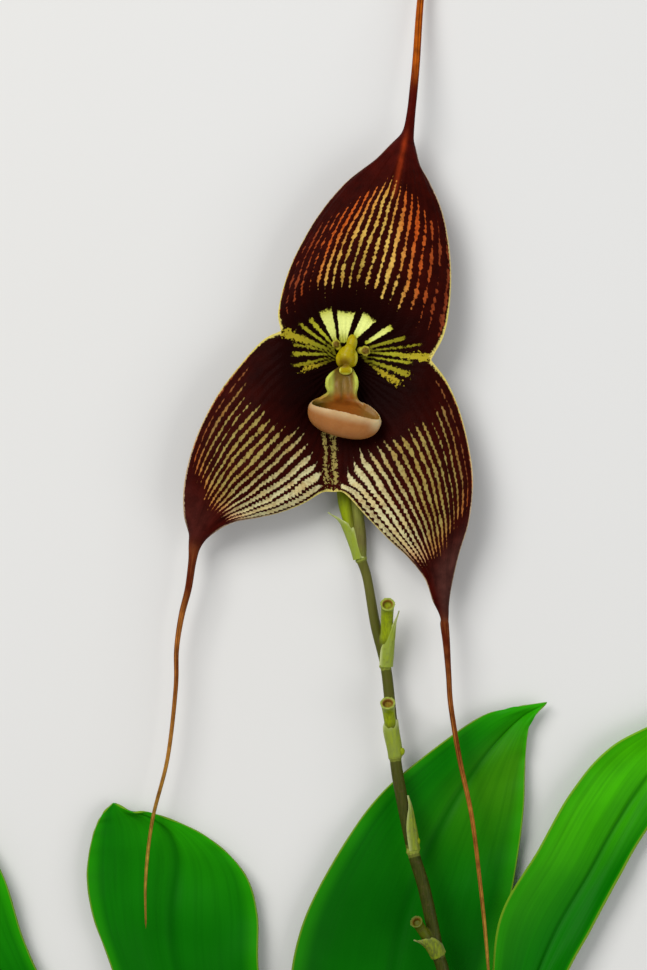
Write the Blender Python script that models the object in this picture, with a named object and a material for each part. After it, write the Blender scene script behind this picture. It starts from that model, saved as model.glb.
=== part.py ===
"""Monkey face orchid, lifted bare rooted and laid on its back with the flower facing up.

The origin is on the flat underside of the rhizome, where the plant rests. The plant grows
towards +Y and the flower faces +Z. Outlines below are in millimetres. Each blade is drawn by
stations from its base to its tip, and a station holds its left edge, its midrib and its right
edge as (x, y, z). The flower's outlines are measured from the centre of its cup.
"""

import math
import random

import bmesh
import bpy
from mathutils import Vector

MM = 0.001

# Driving dimensions, in millimetres
CUP = (-7.7, 248.2, 0.0)
SEPAL_THICKNESS = 0.7
LEAF_THICKNESS = 0.8
LIP_WALL = 1.1
STALK_RADIUS = 1.5
STEM_RADIUS = 0.95
STEM_FOOT_RADIUS = 1.3
JOINT_RADIUS = 1.35
GAP = 0.3
RHIZOME_RADIUS = 3.0
SOCKET_RADIUS = 2.4
SOCKET_DEPTH = 5.0
SOCKET_Z = 3.2
ROOT_RADIUS = 0.8

# Relief and mesh fineness
SEPAL_COLUMNS = 20
SEPAL_RIBS = 5
SEPAL_RIB_HEIGHT = 0.35
SEPAL_ROWS_PER_STATION = 2
LEAF_COLUMNS = 8
LEAF_ROWS_PER_STATION = 2
MIDRIB_DEPTH = 0.55
NOTCH_STATION = 2

# Sepal outlines from the centre of the cup, each station (left, midrib, right)
DORSAL = [
    ((0.0, 0.0, 6.5), (0.0, 0.0, 6.5), (0.0, 0.0, 6.5)),
    ((-7.0, 3.4, 8.4), (0.9, 7.3, 8.0), (9.5, 0.2, 8.4)),
    ((-14.1, 6.8, 10.6), (1.5, 13.6, 10.4), (18.9, 0.4, 10.6)),
    ((-14.7, 11.0, 9.6), (2.6, 19.8, 12.2), (22.0, 6.6, 9.6)),
    ((-13.2, 17.8, 8.9), (4.4, 25.7, 13.0), (23.3, 15.8, 8.9)),
    ((-10.6, 24.2, 8.7), (6.6, 31.7, 13.1), (23.1, 24.2, 8.7)),
    ((-5.9, 32.3, 8.7), (8.6, 37.0, 12.4), (21.6, 32.6, 8.7)),
    ((0.2, 39.6, 8.6), (10.6, 42.0, 11.0), (18.9, 39.2, 8.6)),
    ((7.5, 45.3, 8.1), (12.5, 46.9, 9.4), (16.3, 44.0, 8.1)),
    ((12.1, 50.4, 7.5), (13.9, 50.4, 7.8), (15.2, 49.3, 7.5)),
]
LATERAL_LEFT = [
    ((0.0, 0.0, 6.5), (0.0, 0.0, 6.5), (0.0, 0.0, 6.5)),
    ((-1.3, -14.5, 7.0), (-5.1, -5.9, 8.0), (-7.0, 3.4, 8.4)),
    ((-2.6, -28.6, 8.2), (-9.9, -11.7, 10.6), (-14.1, 6.8, 10.6)),
    ((-5.1, -28.8, 8.6), (-14.3, -16.3, 12.4), (-18.3, 4.6, 9.6)),
    ((-9.2, -31.2, 8.9), (-18.3, -20.5, 13.2), (-23.8, -1.5, 8.9)),
    ((-14.3, -33.2, 8.9), (-22.2, -24.4, 13.2), (-28.8, -8.4, 8.7)),
    ((-19.6, -34.4, 8.8), (-25.7, -28.2, 12.2), (-33.0, -17.2, 8.7)),
    ((-24.0, -35.2, 8.5), (-28.6, -31.7, 10.8), (-35.4, -26.2, 8.6)),
    ((-27.9, -37.0, 8.1), (-31.0, -35.4, 9.2), (-35.6, -33.7, 8.1)),
    ((-31.2, -39.8, 7.4), (-33.0, -39.8, 7.6), (-34.8, -38.9, 7.5)),
]
LATERAL_RIGHT = [
    ((0.0, 0.0, 6.5), (0.0, 0.0, 6.5), (0.0, 0.0, 6.5)),
    ((9.5, 0.2, 8.4), (4.6, -7.9, 8.0), (-1.3, -14.5, 7.0)),
    ((18.9, 0.4, 10.6), (9.0, -15.0, 10.6), (-2.6, -28.6, 8.2)),
    ((22.4, -4.2, 9.6), (12.5, -20.9, 12.4), (0.0, -29.0, 8.6)),
    ((25.3, -10.8, 8.9), (15.2, -26.4, 13.2), (4.6, -33.9, 8.9)),
    ((27.3, -18.7, 8.7), (17.4, -32.1, 13.2), (9.7, -39.2, 8.9)),
    ((28.2, -26.4, 8.7), (19.1, -37.6, 12.2), (13.9, -43.1, 8.8)),
    ((27.3, -35.2, 8.6), (20.2, -42.9, 10.8), (17.4, -47.5, 8.5)),
    ((24.9, -43.6, 8.1), (20.9, -48.4, 9.2), (19.1, -51.7, 8.1)),
    ((22.2, -54.1, 7.5), (21.1, -54.1, 7.6), (20.0, -54.1, 7.4)),
]

# Tails from the centre of the cup, each point (x, y, z, radius)
TAIL_DORSAL = [
    (13.5, 48.0, 8.0, 0.9), (14.5, 54.5, 7.4, 1.1), (15.2, 60.5, 6.6, 1.08), (15.8, 67.0, 5.6, 1.02),
    (16.7, 79.6, 3.6, 0.9), (18.3, 95.0, 2.2, 0.75), (20.0, 110.4, 1.5, 0.6), (21.3, 123.6, 1.1, 0.48),
    (21.8, 134.6, 1.0, 0.32),
]
TAIL_LEFT = [
    (-31.8, -38.0, 7.7, 0.9), (-33.2, -42.0, 7.2, 1.12), (-34.6, -50.0, 6.6, 0.92),
    (-36.1, -56.0, 6.4, 0.8), (-37.2, -63.4, 6.3, 0.66), (-37.4, -72.2, 6.3, 0.58),
    (-39.2, -87.6, 6.4, 0.52), (-42.5, -101.0, 6.6, 0.48), (-44.0, -113.9, 6.5, 0.42),
    (-44.0, -125.4, 6.2, 0.3),
]
TAIL_RIGHT = [
    (21.0, -51.8, 7.8, 0.9), (21.4, -56.5, 7.3, 1.1), (22.1, -62.0, 7.2, 0.95),
    (22.9, -69.0, 7.2, 0.8), (23.3, -76.0, 7.3, 0.72), (25.3, -87.6, 7.7, 0.64),
    (27.9, -99.9, 8.1, 0.58), (29.7, -114.0, 8.4, 0.54), (31.2, -128.7, 8.6, 0.48),
    (32.1, -142.1, 8.6, 0.32),
]

# Neck of the lip from the centre of the cup, each station (left, middle, right)
LIP_NECK = [
    ((-1.9, -1.5, 8.9), (0.0, -1.8, 8.4), (1.7, -1.5, 8.9)),
    ((-3.4, -3.1, 10.1), (-0.2, -3.1, 8.9), (2.3, -3.1, 9.9)),
    ((-4.4, -4.9, 11.4), (-0.4, -4.9, 9.8), (2.9, -4.9, 11.2)),
    ((-3.9, -6.8, 12.0), (-0.5, -6.8, 11.0), (2.6, -6.8, 11.9)),
    ((-3.9, -9.2, 12.1), (-0.4, -9.2, 11.5), (3.1, -9.4, 12.0)),
]
POUCH_CENTRE = (0.0, -12.0, 12.9)
POUCH_SIZE = (8.1, 4.3, 3.7)
POUCH_TILT = math.radians(-14)
POUCH_HOLLOW_SHIFT = (0.0, 1.9, 1.2)

# Pedicel and ovary from the centre of the cup, each point (x, y, z, radius)
PEDICEL = [
    (0.0, -0.2, 5.45, 1.1), (0.0, -0.9, 4.0, 1.1), (0.0, -3.2, 2.6, 1.2), (0.2, -6.8, 1.9, 1.4),
    (0.4, -13.0, 1.35, 1.65), (0.4, -20.0, 1.3, 1.65), (0.0, -29.7, 1.4, 1.45),
    (0.9, -35.9, 1.45, 1.15), (2.0, -41.2, 1.4, 0.9),
]

# Flowering stem from the origin, above its socket, each point (x, y, z, radius)
STEM = [
    (8.0, 24.0, 4.2, 1.1), (12.4, 40.0, 5.6, 1.05), (15.4, 62.0, 6.8, 1.0), (15.6, 90.0, 8.0, 1.0),
    (14.1, 112.0, 8.8, STEM_RADIUS), (12.8, 118.0, 8.9, STEM_RADIUS),
    (9.8, 132.0, 8.6, STEM_RADIUS), (7.3, 140.4, 8.2, STEM_RADIUS),
    (5.1, 153.3, 7.2, STEM_RADIUS), (4.0, 161.0, 6.4, STEM_RADIUS),
    (2.9, 171.6, 5.2, 0.9), (1.4, 181.1, 4.2, 0.9), (-0.9, 190.0, 3.4, 0.9),
    (-2.9, 200.2, 2.8, 0.95), (-4.2, 205.0, 2.7, 1.1),
]
STEM_JOINTS = [(15.2, 95.0, 8.2), (13.0, 117.3, 8.9), (7.3, 140.4, 8.2), (4.1, 161.0, 6.4),
               (1.5, 181.1, 4.2), (-4.1, 204.6, 2.7), (15.8, 66.0, 7.0), (13.2, 38.5, 5.5)]
SPENT_STALKS = [
    [(1.2, 181.5, 4.2, 0.9), (1.5, 189.0, 5.3, 1.1), (1.6, 192.6, 6.3, 1.15), (1.7, 194.2, 7.8, 1.25),
     (1.7, 194.9, 9.2, 1.6)],
    [(2.6, 165.0, 5.8, 1.3), (2.1, 169.0, 6.9, 1.2), (1.8, 172.0, 8.3, 1.25), (1.7, 173.2, 10.0, 1.65)],
    [(12.2, 118.2, 9.0, 1.0), (9.9, 122.2, 10.1, 0.95), (8.4, 124.6, 11.4, 1.0), (7.9, 125.4, 12.8, 1.3)],
]
STEM_BRACTS = [
    [(-4.6, 205.2, 3.3, 0.8), (-6.2, 209.2, 4.2, 0.75), (-7.8, 212.8, 4.4, 0.55), (-9.6, 214.3, 4.5, 0.4),
     (-11.3, 215.2, 4.6, 0.3)],
    [(2.0, 181.6, 4.6, 1.0), (2.7, 187.0, 5.6, 0.7), (3.4, 191.2, 6.4, 0.45), (4.2, 193.4, 6.8, 0.3)],
    [(4.1, 161.5, 6.5, 1.75), (3.7, 165.0, 6.2, 1.9), (3.0, 168.8, 5.8, 1.55)],
    [(4.9, 162.0, 6.8, 0.5), (4.6, 162.5, 7.4, 0.75)],
    [(10.4, 119.0, 9.8, 0.5), (8.6, 120.6, 10.6, 0.4), (7.2, 120.9, 11.0, 0.3)],
    [(6.6, 143.0, 8.7, 0.9), (6.8, 148.8, 8.6, 0.7), (5.9, 153.0, 8.1, 0.4)],
]
STEM_TIP = [(-4.0, 205.0, 3.0, 1.0), (-4.2, 208.5, 3.5, 1.05), (-4.6, 213.4, 3.7, 1.0),
            (-5.5, 219.0, 3.8, 0.9), (-6.0, 224.0, 3.9, 0.5)]

# Leaves from the origin, each station (left edge, midrib, right edge)
LEAF_LEFT = [
    ((-9.5, 35.2, 3.2), (-7.7, 35.0, 3.2), (-5.9, 35.2, 3.2)),
    ((-23.1, 56.1, 5.4), (-16.3, 55.0, 2.2), (-9.2, 55.0, 5.4)),
    ((-42.9, 80.3, 5.6), (-29.7, 78.1, 1.5), (-17.6, 77.0, 5.6)),
    ((-53.9, 99.0, 5.0), (-39.6, 96.8, 1.1), (-23.8, 95.7, 5.0)),
    ((-59.8, 115.3, 4.2), (-44.9, 113.3, 0.9), (-26.8, 113.3, 4.4)),
    ((-63.6, 125.8, 3.2), (-46.6, 125.4, 0.9), (-27.1, 125.8, 4.2)),
    ((-64.9, 134.6, 3.6), (-48.8, 136.0, 1.2), (-30.1, 135.3, 4.0)),
    ((-63.8, 142.6, 3.4), (-52.8, 143.4, 1.8), (-38.5, 143.2, 3.6)),
    ((-61.8, 147.6, 3.0), (-56.8, 148.1, 2.2), (-50.2, 148.3, 3.0)),
    ((-59.2, 150.5, 2.4), (-59.2, 150.5, 2.4), (-59.2, 150.5, 2.4)),
]
LEAF_MIDDLE = [
    ((-0.7, 37.4, 3.2), (1.1, 37.2, 3.2), (2.9, 37.4, 3.2)),
    ((-8.8, 57.2, 4.6), (-0.9, 56.1, 2.2), (7.0, 57.2, 4.4)),
    ((-16.5, 83.6, 4.8), (-0.4, 81.4, 1.5), (15.8, 83.6, 4.0)),
    ((-19.8, 105.6, 4.6), (1.8, 103.4, 1.1), (23.5, 106.7, 3.4)),
    ((-17.6, 122.1, 4.4), (4.8, 122.1, 0.9), (28.2, 125.4, 2.9)),
    ((-10.3, 137.5, 4.2), (9.5, 136.0, 0.9), (30.4, 136.8, 2.8)),
    ((-0.4, 151.8, 4.0), (15.4, 148.5, 1.2), (31.9, 148.5, 2.9)),
    ((11.0, 161.7, 3.2), (21.6, 158.4, 1.8), (32.3, 158.4, 3.0)),
    ((22.0, 169.4, 3.4), (27.9, 166.1, 2.3), (32.8, 165.4, 3.0)),
    ((29.0, 171.6, 3.0), (32.3, 170.1, 2.6), (33.9, 169.0, 2.8)),
    ((37.2, 172.9, 2.6), (37.2, 172.9, 2.6), (37.2, 172.9, 2.6)),
]
LEAF_RIGHT = [
    ((14.0, 35.2, 3.2), (15.8, 35.0, 3.2), (17.6, 35.2, 3.2)),
    ((16.0, 57.2, 6.0), (19.6, 56.1, 3.6), (23.1, 57.6, 5.8)),
    ((19.2, 81.4, 7.0), (26.0, 81.8, 3.6), (32.0, 84.7, 6.4)),
    ((24.2, 105.6, 7.2), (32.6, 105.6, 3.2), (39.4, 108.9, 6.2)),
    ((26.6, 125.4, 6.8), (38.9, 121.4, 2.2), (46.9, 123.2, 5.4)),
    ((35.2, 140.4, 6.0), (46.4, 134.2, 1.3), (52.6, 133.8, 4.6)),
    ((42.2, 152.7, 5.2), (52.6, 145.6, 0.9), (58.9, 144.5, 4.2)),
    ((51.0, 162.8, 4.8), (60.9, 158.0, 0.9), (68.4, 157.1, 4.0)),
    ((62.7, 169.0, 4.4), (71.5, 168.8, 1.4), (79.0, 168.6, 3.2)),
    ((75.9, 176.0, 3.6), (82.0, 178.5, 2.2), (87.5, 180.0, 3.4)),
    ((94.6, 187.0, 2.6), (94.6, 187.0, 2.6), (94.6, 187.0, 2.6)),
]
LEAF_FAR_LEFT = [
    ((-18.3, 35.2, 3.2), (-16.5, 35.0, 3.2), (-14.7, 35.2, 3.2)),
    ((-36.3, 52.8, 5.2), (-30.8, 50.0, 2.2), (-26.0, 49.5, 5.2)),
    ((-62.7, 71.5, 5.4), (-52.8, 68.2, 1.5), (-44.5, 70.5, 5.4)),
    ((-81.4, 88.0, 5.0), (-70.4, 86.9, 0.9), (-60.5, 93.0, 5.0)),
    ((-94.6, 103.4, 4.6), (-83.2, 104.5, 0.9), (-72.6, 107.8, 4.6)),
    ((-102.3, 118.8, 4.2), (-91.3, 119.9, 1.2), (-78.8, 119.9, 4.2)),
    ((-106.7, 134.2, 3.2), (-97.2, 134.2, 1.6), (-83.5, 134.6, 4.0)),
    ((-106.7, 147.4, 3.2), (-100.8, 147.4, 2.2), (-91.1, 146.3, 3.4)),
    ((-103.8, 157.3, 2.4), (-103.8, 157.3, 2.4), (-103.8, 157.3, 2.4)),
]

# Sheathed sockets of the rhizome: foot along X, heading in degrees from +X, and length
SOCKETS = {
    "leaf_far_left": (-12.0, 112.0, 11.0),
    "leaf_left": (-6.0, 100.0, 13.5),
    "leaf_middle": (0.3, 91.0, 11.5),
    "flowering_stem": (5.8, 87.0, 10.0),
    "leaf_right": (11.6, 79.0, 13.0),
}
# Centre line of the rhizome, each point (x, y, radius)
RHIZOME = [(-17.0, -1.6, 1.3), (-14.5, -0.8, 2.5), (-9.0, 0.4, RHIZOME_RADIUS), (-4.0, -0.2, 2.7),
           (0.0, 0.0, RHIZOME_RADIUS), (4.0, 0.4, 2.7), (9.0, 0.3, RHIZOME_RADIUS), (13.5, -0.6, 2.5),
           (16.0, -1.2, 1.4)]
# Height of a lying stem's centre, as a share of its radius, so that its underside is pressed flat
PRESSED = 0.8
ROOT_COUNT = 10
ROOT_LENGTH = (30.0, 52.0)


def clear_scene():
    for item in list(bpy.data.objects):
        bpy.data.objects.remove(item, do_unlink=True)


def material(name, colour, roughness):
    made = bpy.data.materials.new(name)
    made.use_nodes = True
    shader = made.node_tree.nodes["Principled BSDF"]
    shader.inputs["Base Color"].default_value = (*colour, 1.0)
    shader.inputs["Roughness"].default_value = roughness
    shader.inputs["Metallic"].default_value = 0.0
    return made


def catmull(points, t):
    """Point at t along a smooth curve that passes through every given point."""
    last = len(points) - 1
    k = min(max(int(t), 0), last - 1)
    f = t - k
    b = Vector(points[k])
    c = Vector(points[k + 1])
    a = Vector(points[k - 1]) if k > 0 else b * 2 - c
    d = Vector(points[k + 2]) if k + 2 <= last else c * 2 - b
    return 0.5 * (2 * b + (c - a) * f + (2 * a - 5 * b + 4 * c - d) * f * f
                  + (3 * b - a - 3 * c + d) * f * f * f)


def edge_at(points, t, corner):
    """Like catmull, but straight up to the corner station, where the outline turns sharply."""
    if t <= corner:
        k = min(int(t), corner - 1)
        return Vector(points[k]).lerp(Vector(points[k + 1]), t - k)
    return catmull(points[corner:], t - corner)


def blade_rows(stations, rows_per_station, columns, corner, relief):
    """Rows of points across a blade, from base to tip, bowed through the midrib."""
    left = [station[0] for station in stations]
    middle = [station[1] for station in stations]
    right = [station[2] for station in stations]
    count = (len(stations) - 1) * rows_per_station
    rows = []
    for i in range(count + 1):
        t = i / rows_per_station
        a = edge_at(left, t, corner) if corner else catmull(left, t)
        c = edge_at(right, t, corner) if corner else catmull(right, t)
        bow = catmull(middle, t) - (a + c) / 2
        row = []
        for j in range(columns + 1):
            v = j / columns
            point = a.lerp(c, v) + bow * (4 * v * (1 - v))
            point.z += relief(t, v)
            row.append(point)
        rows.append(row)
    return rows


def add_rows(bm, rows, offset):
    """Adds a grid of triangles that face up to the mesh."""
    origin = Vector(offset)
    grid = [[bm.verts.new((point + origin) * MM) for point in row] for row in rows]
    for i in range(len(grid) - 1):
        for j in range(len(grid[0]) - 1):
            a, b = grid[i][j], grid[i][j + 1]
            c, d = grid[i + 1][j + 1], grid[i + 1][j]
            bm.faces.new((a, b, c))
            bm.faces.new((a, c, d))


def link(name, mesh):
    made = bpy.data.objects.new(name, mesh)
    bpy.context.collection.objects.link(made)
    return made


def apply_modifier(target, kind, **settings):
    modifier = target.modifiers.new(kind.title(), kind)
    for key, value in settings.items():
        setattr(modifier, key, value)
    bpy.ops.object.select_all(action="DESELECT")
    bpy.context.view_layer.objects.active = target
    target.select_set(True)
    bpy.ops.object.modifier_apply(modifier=modifier.name)


def sheet_solid(name, sheets, thickness, offset=(0, 0, 0)):
    """One closed blade of even thickness from one or more sheets that share their seams."""
    bm = bmesh.new()
    for rows in sheets:
        add_rows(bm, rows, offset)
    bmesh.ops.remove_doubles(bm, verts=bm.verts, dist=0.02 * MM)
    bmesh.ops.recalc_face_normals(bm, faces=bm.faces)
    if sum(face.normal.z for face in bm.faces) < 0:
        bmesh.ops.reverse_faces(bm, faces=bm.faces)
    mesh = bpy.data.meshes.new(name)
    bm.to_mesh(mesh)
    bm.free()
    blade = link(name, mesh)
    apply_modifier(blade, "SOLIDIFY", thickness=thickness * MM, offset=0.0)
    return blade


def tube(name, points, offset=(0, 0, 0), sides=8, steps=2):
    """Tapered round tube with filled ends along a smooth path of (x, y, z, radius)."""
    curve = bpy.data.curves.new(name, "CURVE")
    curve.dimensions = "3D"
    curve.bevel_depth = MM
    curve.bevel_resolution = sides // 2 - 2
    curve.use_fill_caps = True
    spline = curve.splines.new("POLY")
    count = (len(points) - 1) * steps
    spline.points.add(count)
    origin = Vector(offset)
    for i in range(count + 1):
        point = catmull(points, i / steps)
        spline.points[i].co = (*((Vector(point[:3]) + origin) * MM), 1.0)
        spline.points[i].radius = point[3]
    source = link(name, curve)
    mesh = bpy.data.meshes.new_from_object(source)
    bpy.data.objects.remove(source, do_unlink=True)
    bpy.data.curves.remove(curve)
    made = link(name, mesh)
    bm = bmesh.new()
    bm.from_mesh(mesh)
    bmesh.ops.remove_doubles(bm, verts=bm.verts, dist=0.001 * MM)
    bmesh.ops.recalc_face_normals(bm, faces=bm.faces)
    bm.to_mesh(mesh)
    bm.free()
    return made


def ellipsoid(name, centre, size, offset=(0, 0, 0), segments=12, rings=8, turn=0.0):
    """Round body with half sizes along X, Y and Z, turned about Z."""
    bpy.ops.mesh.primitive_uv_sphere_add(segments=segments, ring_count=rings, radius=1.0)
    made = bpy.context.object
    made.name = name
    made.scale = Vector(size) * MM
    made.rotation_euler = (0.0, 0.0, turn)
    made.location = (Vector(centre) + Vector(offset)) * MM
    bpy.ops.object.transform_apply(location=True, rotation=True, scale=True)
    return made


def union(body, pieces, solver="EXACT"):
    """Joins the pieces to the body in one solid."""
    group = bpy.data.collections.new("joined")
    bpy.context.scene.collection.children.link(group)
    for piece in pieces:
        group.objects.link(piece)
    apply_modifier(body, "BOOLEAN", operation="UNION", solver=solver, operand_type="COLLECTION",
                   collection=group)
    for piece in pieces:
        bpy.data.objects.remove(piece, do_unlink=True)
    bpy.data.collections.remove(group)
    return body


def cut(body, cutter, solver="EXACT"):
    apply_modifier(body, "BOOLEAN", operation="DIFFERENCE", solver=solver, object=cutter)
    bpy.data.objects.remove(cutter, do_unlink=True)
    return body


def finish(body, look, smooth_angle=50.0):
    """Flattens what would reach below the surface, and gives the piece its material."""
    for vertex in body.data.vertices:
        vertex.co.z = max(vertex.co.z, 0.0)
    body.data.materials.clear()
    body.data.materials.append(look)
    body.data.shade_smooth()
    body.data.set_sharp_from_angle(angle=math.radians(smooth_angle))
    return body


def sepal_relief(t, v):
    """Low ribs along the veins, which fade at the cup, the margins and the tip."""
    rise = min(max((t - 1.0) / 1.5, 0.0), 1.0)
    fall = min(max((9.0 - t) / 1.5, 0.0), 1.0)
    return SEPAL_RIB_HEIGHT * rise * fall * (0.5 - 0.5 * math.cos(2 * math.pi * SEPAL_RIBS * v))


def leaf_relief(t, v):
    """Narrow channel along the midrib."""
    return -MIDRIB_DEPTH if abs(v - 0.5) < 0.5 / LEAF_COLUMNS and t > 0.4 else 0.0


def no_relief(t, v):
    return 0.0


def make_sepals(look):
    sheets = [
        blade_rows(stations, SEPAL_ROWS_PER_STATION, SEPAL_COLUMNS, NOTCH_STATION, sepal_relief)
        for stations in (DORSAL, LATERAL_LEFT, LATERAL_RIGHT)
    ]
    body = sheet_solid("sepals", sheets, SEPAL_THICKNESS, CUP)
    tails = [tube("tail", points, CUP) for points in (TAIL_DORSAL, TAIL_LEFT, TAIL_RIGHT)]
    return finish(union(body, tails), look)


def make_petal(name, foot, size, look):
    return finish(ellipsoid(name, foot, size, CUP, segments=10, rings=8), look)


def make_column(look):
    body = ellipsoid("column", (0.1, 1.2, 9.9), (1.5, 2.1, 2.6), CUP)
    anther = ellipsoid("anther", (1.2, 3.9, 9.7), (0.95, 1.6, 1.5), CUP, segments=10, rings=6)
    tip = ellipsoid("tip", (0.1, -0.7, 11.2), (1.3, 1.0, 1.0), CUP, segments=10, rings=6)
    return finish(union(body, [anther, tip]), look)


def make_lip(look):
    body = ellipsoid("lip", POUCH_CENTRE, POUCH_SIZE, CUP, segments=20, rings=12, turn=POUCH_TILT)
    hollow = ellipsoid("hollow", Vector(POUCH_CENTRE) + Vector(POUCH_HOLLOW_SHIFT),
                       [half - LIP_WALL for half in POUCH_SIZE], CUP, segments=16, rings=10,
                       turn=POUCH_TILT)
    cut(body, hollow)
    neck = sheet_solid("neck", [blade_rows(LIP_NECK, 2, 8, 0, no_relief)], LIP_WALL, CUP)
    return finish(union(body, [neck]), look)


def make_pedicel(look):
    return finish(tube("pedicel_and_ovary", PEDICEL, CUP, sides=12), look)


def make_stem(look):
    body = tube("flowering_stem", stalk_foot("flowering_stem", STEM_FOOT_RADIUS) + STEM, sides=8)
    extras = [ellipsoid("joint", place, (JOINT_RADIUS, 0.8, JOINT_RADIUS), segments=10, rings=5)
              for place in STEM_JOINTS]
    extras += [tube("stalk", points, sides=8) for points in SPENT_STALKS]
    extras += [tube("bract", points, sides=6) for points in STEM_BRACTS]
    extras.append(tube("stem_tip", STEM_TIP, sides=8))
    union(body, extras)
    for points in SPENT_STALKS:
        end = Vector(points[-1][:3])
        axis = (end - catmull(points, len(points) - 1.2).to_3d()).normalized()
        bore = tube("bore", [(*(end - axis * 1.6), 0.75), (*(end + axis * 1.0), 1.0)], steps=1)
        cut(body, bore)
    return finish(body, look)


def make_leaf(name, stations, look):
    blade = sheet_solid(name, [blade_rows(stations, LEAF_ROWS_PER_STATION, LEAF_COLUMNS, 0, leaf_relief)],
                        LEAF_THICKNESS)
    base = Vector(stations[0][1])
    heading = (catmull([station[1] for station in stations], 0.15) - base).normalized()
    foot = stalk_foot(name, STALK_RADIUS)
    stalk = tube("stalk", foot + [(*base.lerp(Vector(foot[-1][:3]), 0.4), STALK_RADIUS),
                                  (*(base + heading * 1.5), STALK_RADIUS),
                                  (*(base + heading * 7.0), 0.7)])
    return finish(union(blade, [stalk]), look)


def socket_point(name, distance):
    """Point on a socket's axis at a distance from the rhizome."""
    x, heading, _ = SOCKETS[name]
    angle = math.radians(heading)
    return Vector((x + math.cos(angle) * distance, math.sin(angle) * distance, SOCKET_Z))


def stalk_foot(name, radius):
    """The stretch of a stalk that stands in its socket, from just above the socket's floor."""
    mouth = SOCKETS[name][2]
    return [(*socket_point(name, mouth + step), radius) for step in (GAP - SOCKET_DEPTH, 0.5, 3.0)]


def root_path(rng, k):
    """A root that leaves the rhizome and wanders off along the surface."""
    x = -14.0 + 28.0 * k / (ROOT_COUNT - 1)
    angle = math.radians(-90 + (k - (ROOT_COUNT - 1) / 2) * 12 + rng.uniform(-5, 5))
    length = rng.uniform(*ROOT_LENGTH)
    segments = 7
    points = [(x, 0.5, 2.4, ROOT_RADIUS)]
    for i in range(1, segments + 1):
        angle += math.radians(rng.uniform(-14, 14))
        x_step = math.cos(angle) * length / segments
        y_step = math.sin(angle) * length / segments
        px, py, pz, _ = points[-1]
        radius = ROOT_RADIUS * (1 - 0.45 * i / segments)
        points.append((px + x_step, py + y_step, max(radius, pz - 0.5), radius))
    return points


def make_rhizome(look):
    body = tube("rhizome", [(x, y, radius * PRESSED, radius) for x, y, radius in RHIZOME], sides=12)
    extras = [tube("sheath", [(*socket_point(name, 0.4), SOCKET_RADIUS + 0.2),
                              (*socket_point(name, mouth), SOCKET_RADIUS)], sides=12, steps=1)
              for name, (_, _, mouth) in SOCKETS.items()]
    rng = random.Random(7)
    extras += [tube("root", root_path(rng, k), sides=6, steps=1) for k in range(ROOT_COUNT)]
    union(body, extras)
    for name, (_, _, mouth) in SOCKETS.items():
        bore = tube("bore", [(*socket_point(name, mouth - SOCKET_DEPTH), STALK_RADIUS + GAP),
                             (*socket_point(name, mouth + 1.0), STALK_RADIUS + GAP)], sides=12, steps=1)
        cut(body, bore)
    return finish(body, look)


def main():
    clear_scene()
    make_sepals(material("dark maroon sepal", (0.06, 0.008, 0.01), 0.55))
    flesh = material("yellow flesh", (0.45, 0.38, 0.02), 0.45)
    make_petal("petal_left", (-1.8, 3.7, 9.0), (0.85, 0.95, 1.2), flesh)
    make_petal("petal_right", (4.0, 2.9, 9.3), (1.25, 1.2, 1.35), flesh)
    make_column(flesh)
    make_lip(material("peach lip", (0.6, 0.3, 0.18), 0.45))
    make_pedicel(material("olive stalk", (0.25, 0.27, 0.03), 0.5))
    make_stem(material("green stem", (0.2, 0.27, 0.03), 0.5))
    green = material("leaf green", (0.02, 0.2, 0.01), 0.4)
    make_leaf("leaf_left", LEAF_LEFT, green)
    make_leaf("leaf_middle", LEAF_MIDDLE, green)
    make_leaf("leaf_right", LEAF_RIGHT, green)
    make_leaf("leaf_far_left", LEAF_FAR_LEFT, green)
    make_rhizome(material("brown rhizome", (0.16, 0.1, 0.05), 0.8))


main()
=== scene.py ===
"""Monkey face orchid, lifted bare rooted and lying on its back: the finish of every surface.

Lengths in the tables are millimetres from the plant's own origin on the rhizome, and the
flower's are from the centre of its cup. The mesh itself is in metres, as the frame is.
"""

import math
import random

import bpy
import numpy as np
from bpy.props import FloatProperty, FloatVectorProperty, IntProperty, PointerProperty
from mathutils import Euler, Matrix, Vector, noise


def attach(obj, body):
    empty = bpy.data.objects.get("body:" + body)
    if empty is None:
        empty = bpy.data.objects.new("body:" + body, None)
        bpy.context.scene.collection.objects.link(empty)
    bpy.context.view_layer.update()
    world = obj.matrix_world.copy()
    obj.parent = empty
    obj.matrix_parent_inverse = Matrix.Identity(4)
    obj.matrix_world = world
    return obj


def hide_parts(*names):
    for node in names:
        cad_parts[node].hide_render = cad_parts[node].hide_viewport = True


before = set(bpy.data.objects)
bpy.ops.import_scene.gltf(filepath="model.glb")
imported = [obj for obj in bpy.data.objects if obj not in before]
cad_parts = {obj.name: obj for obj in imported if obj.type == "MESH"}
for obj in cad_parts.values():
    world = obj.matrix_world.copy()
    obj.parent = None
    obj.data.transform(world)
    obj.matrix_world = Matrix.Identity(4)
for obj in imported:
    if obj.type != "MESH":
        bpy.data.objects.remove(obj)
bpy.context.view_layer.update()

bl_info = {
    "name": "Monkey face orchid",
    "version": (1, 0, 0),
    "blender": (4, 5, 0),
    "location": "View3D > Sidebar > Orchid",
    "description": "Dresses the lying monkey face orchid with its flower, leaves and roots",
    "category": "Add Mesh",
}

MM = 0.001
CUP = Vector((-7.7, 248.2, 0.0))
NOTCH_STATION = 2

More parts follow.
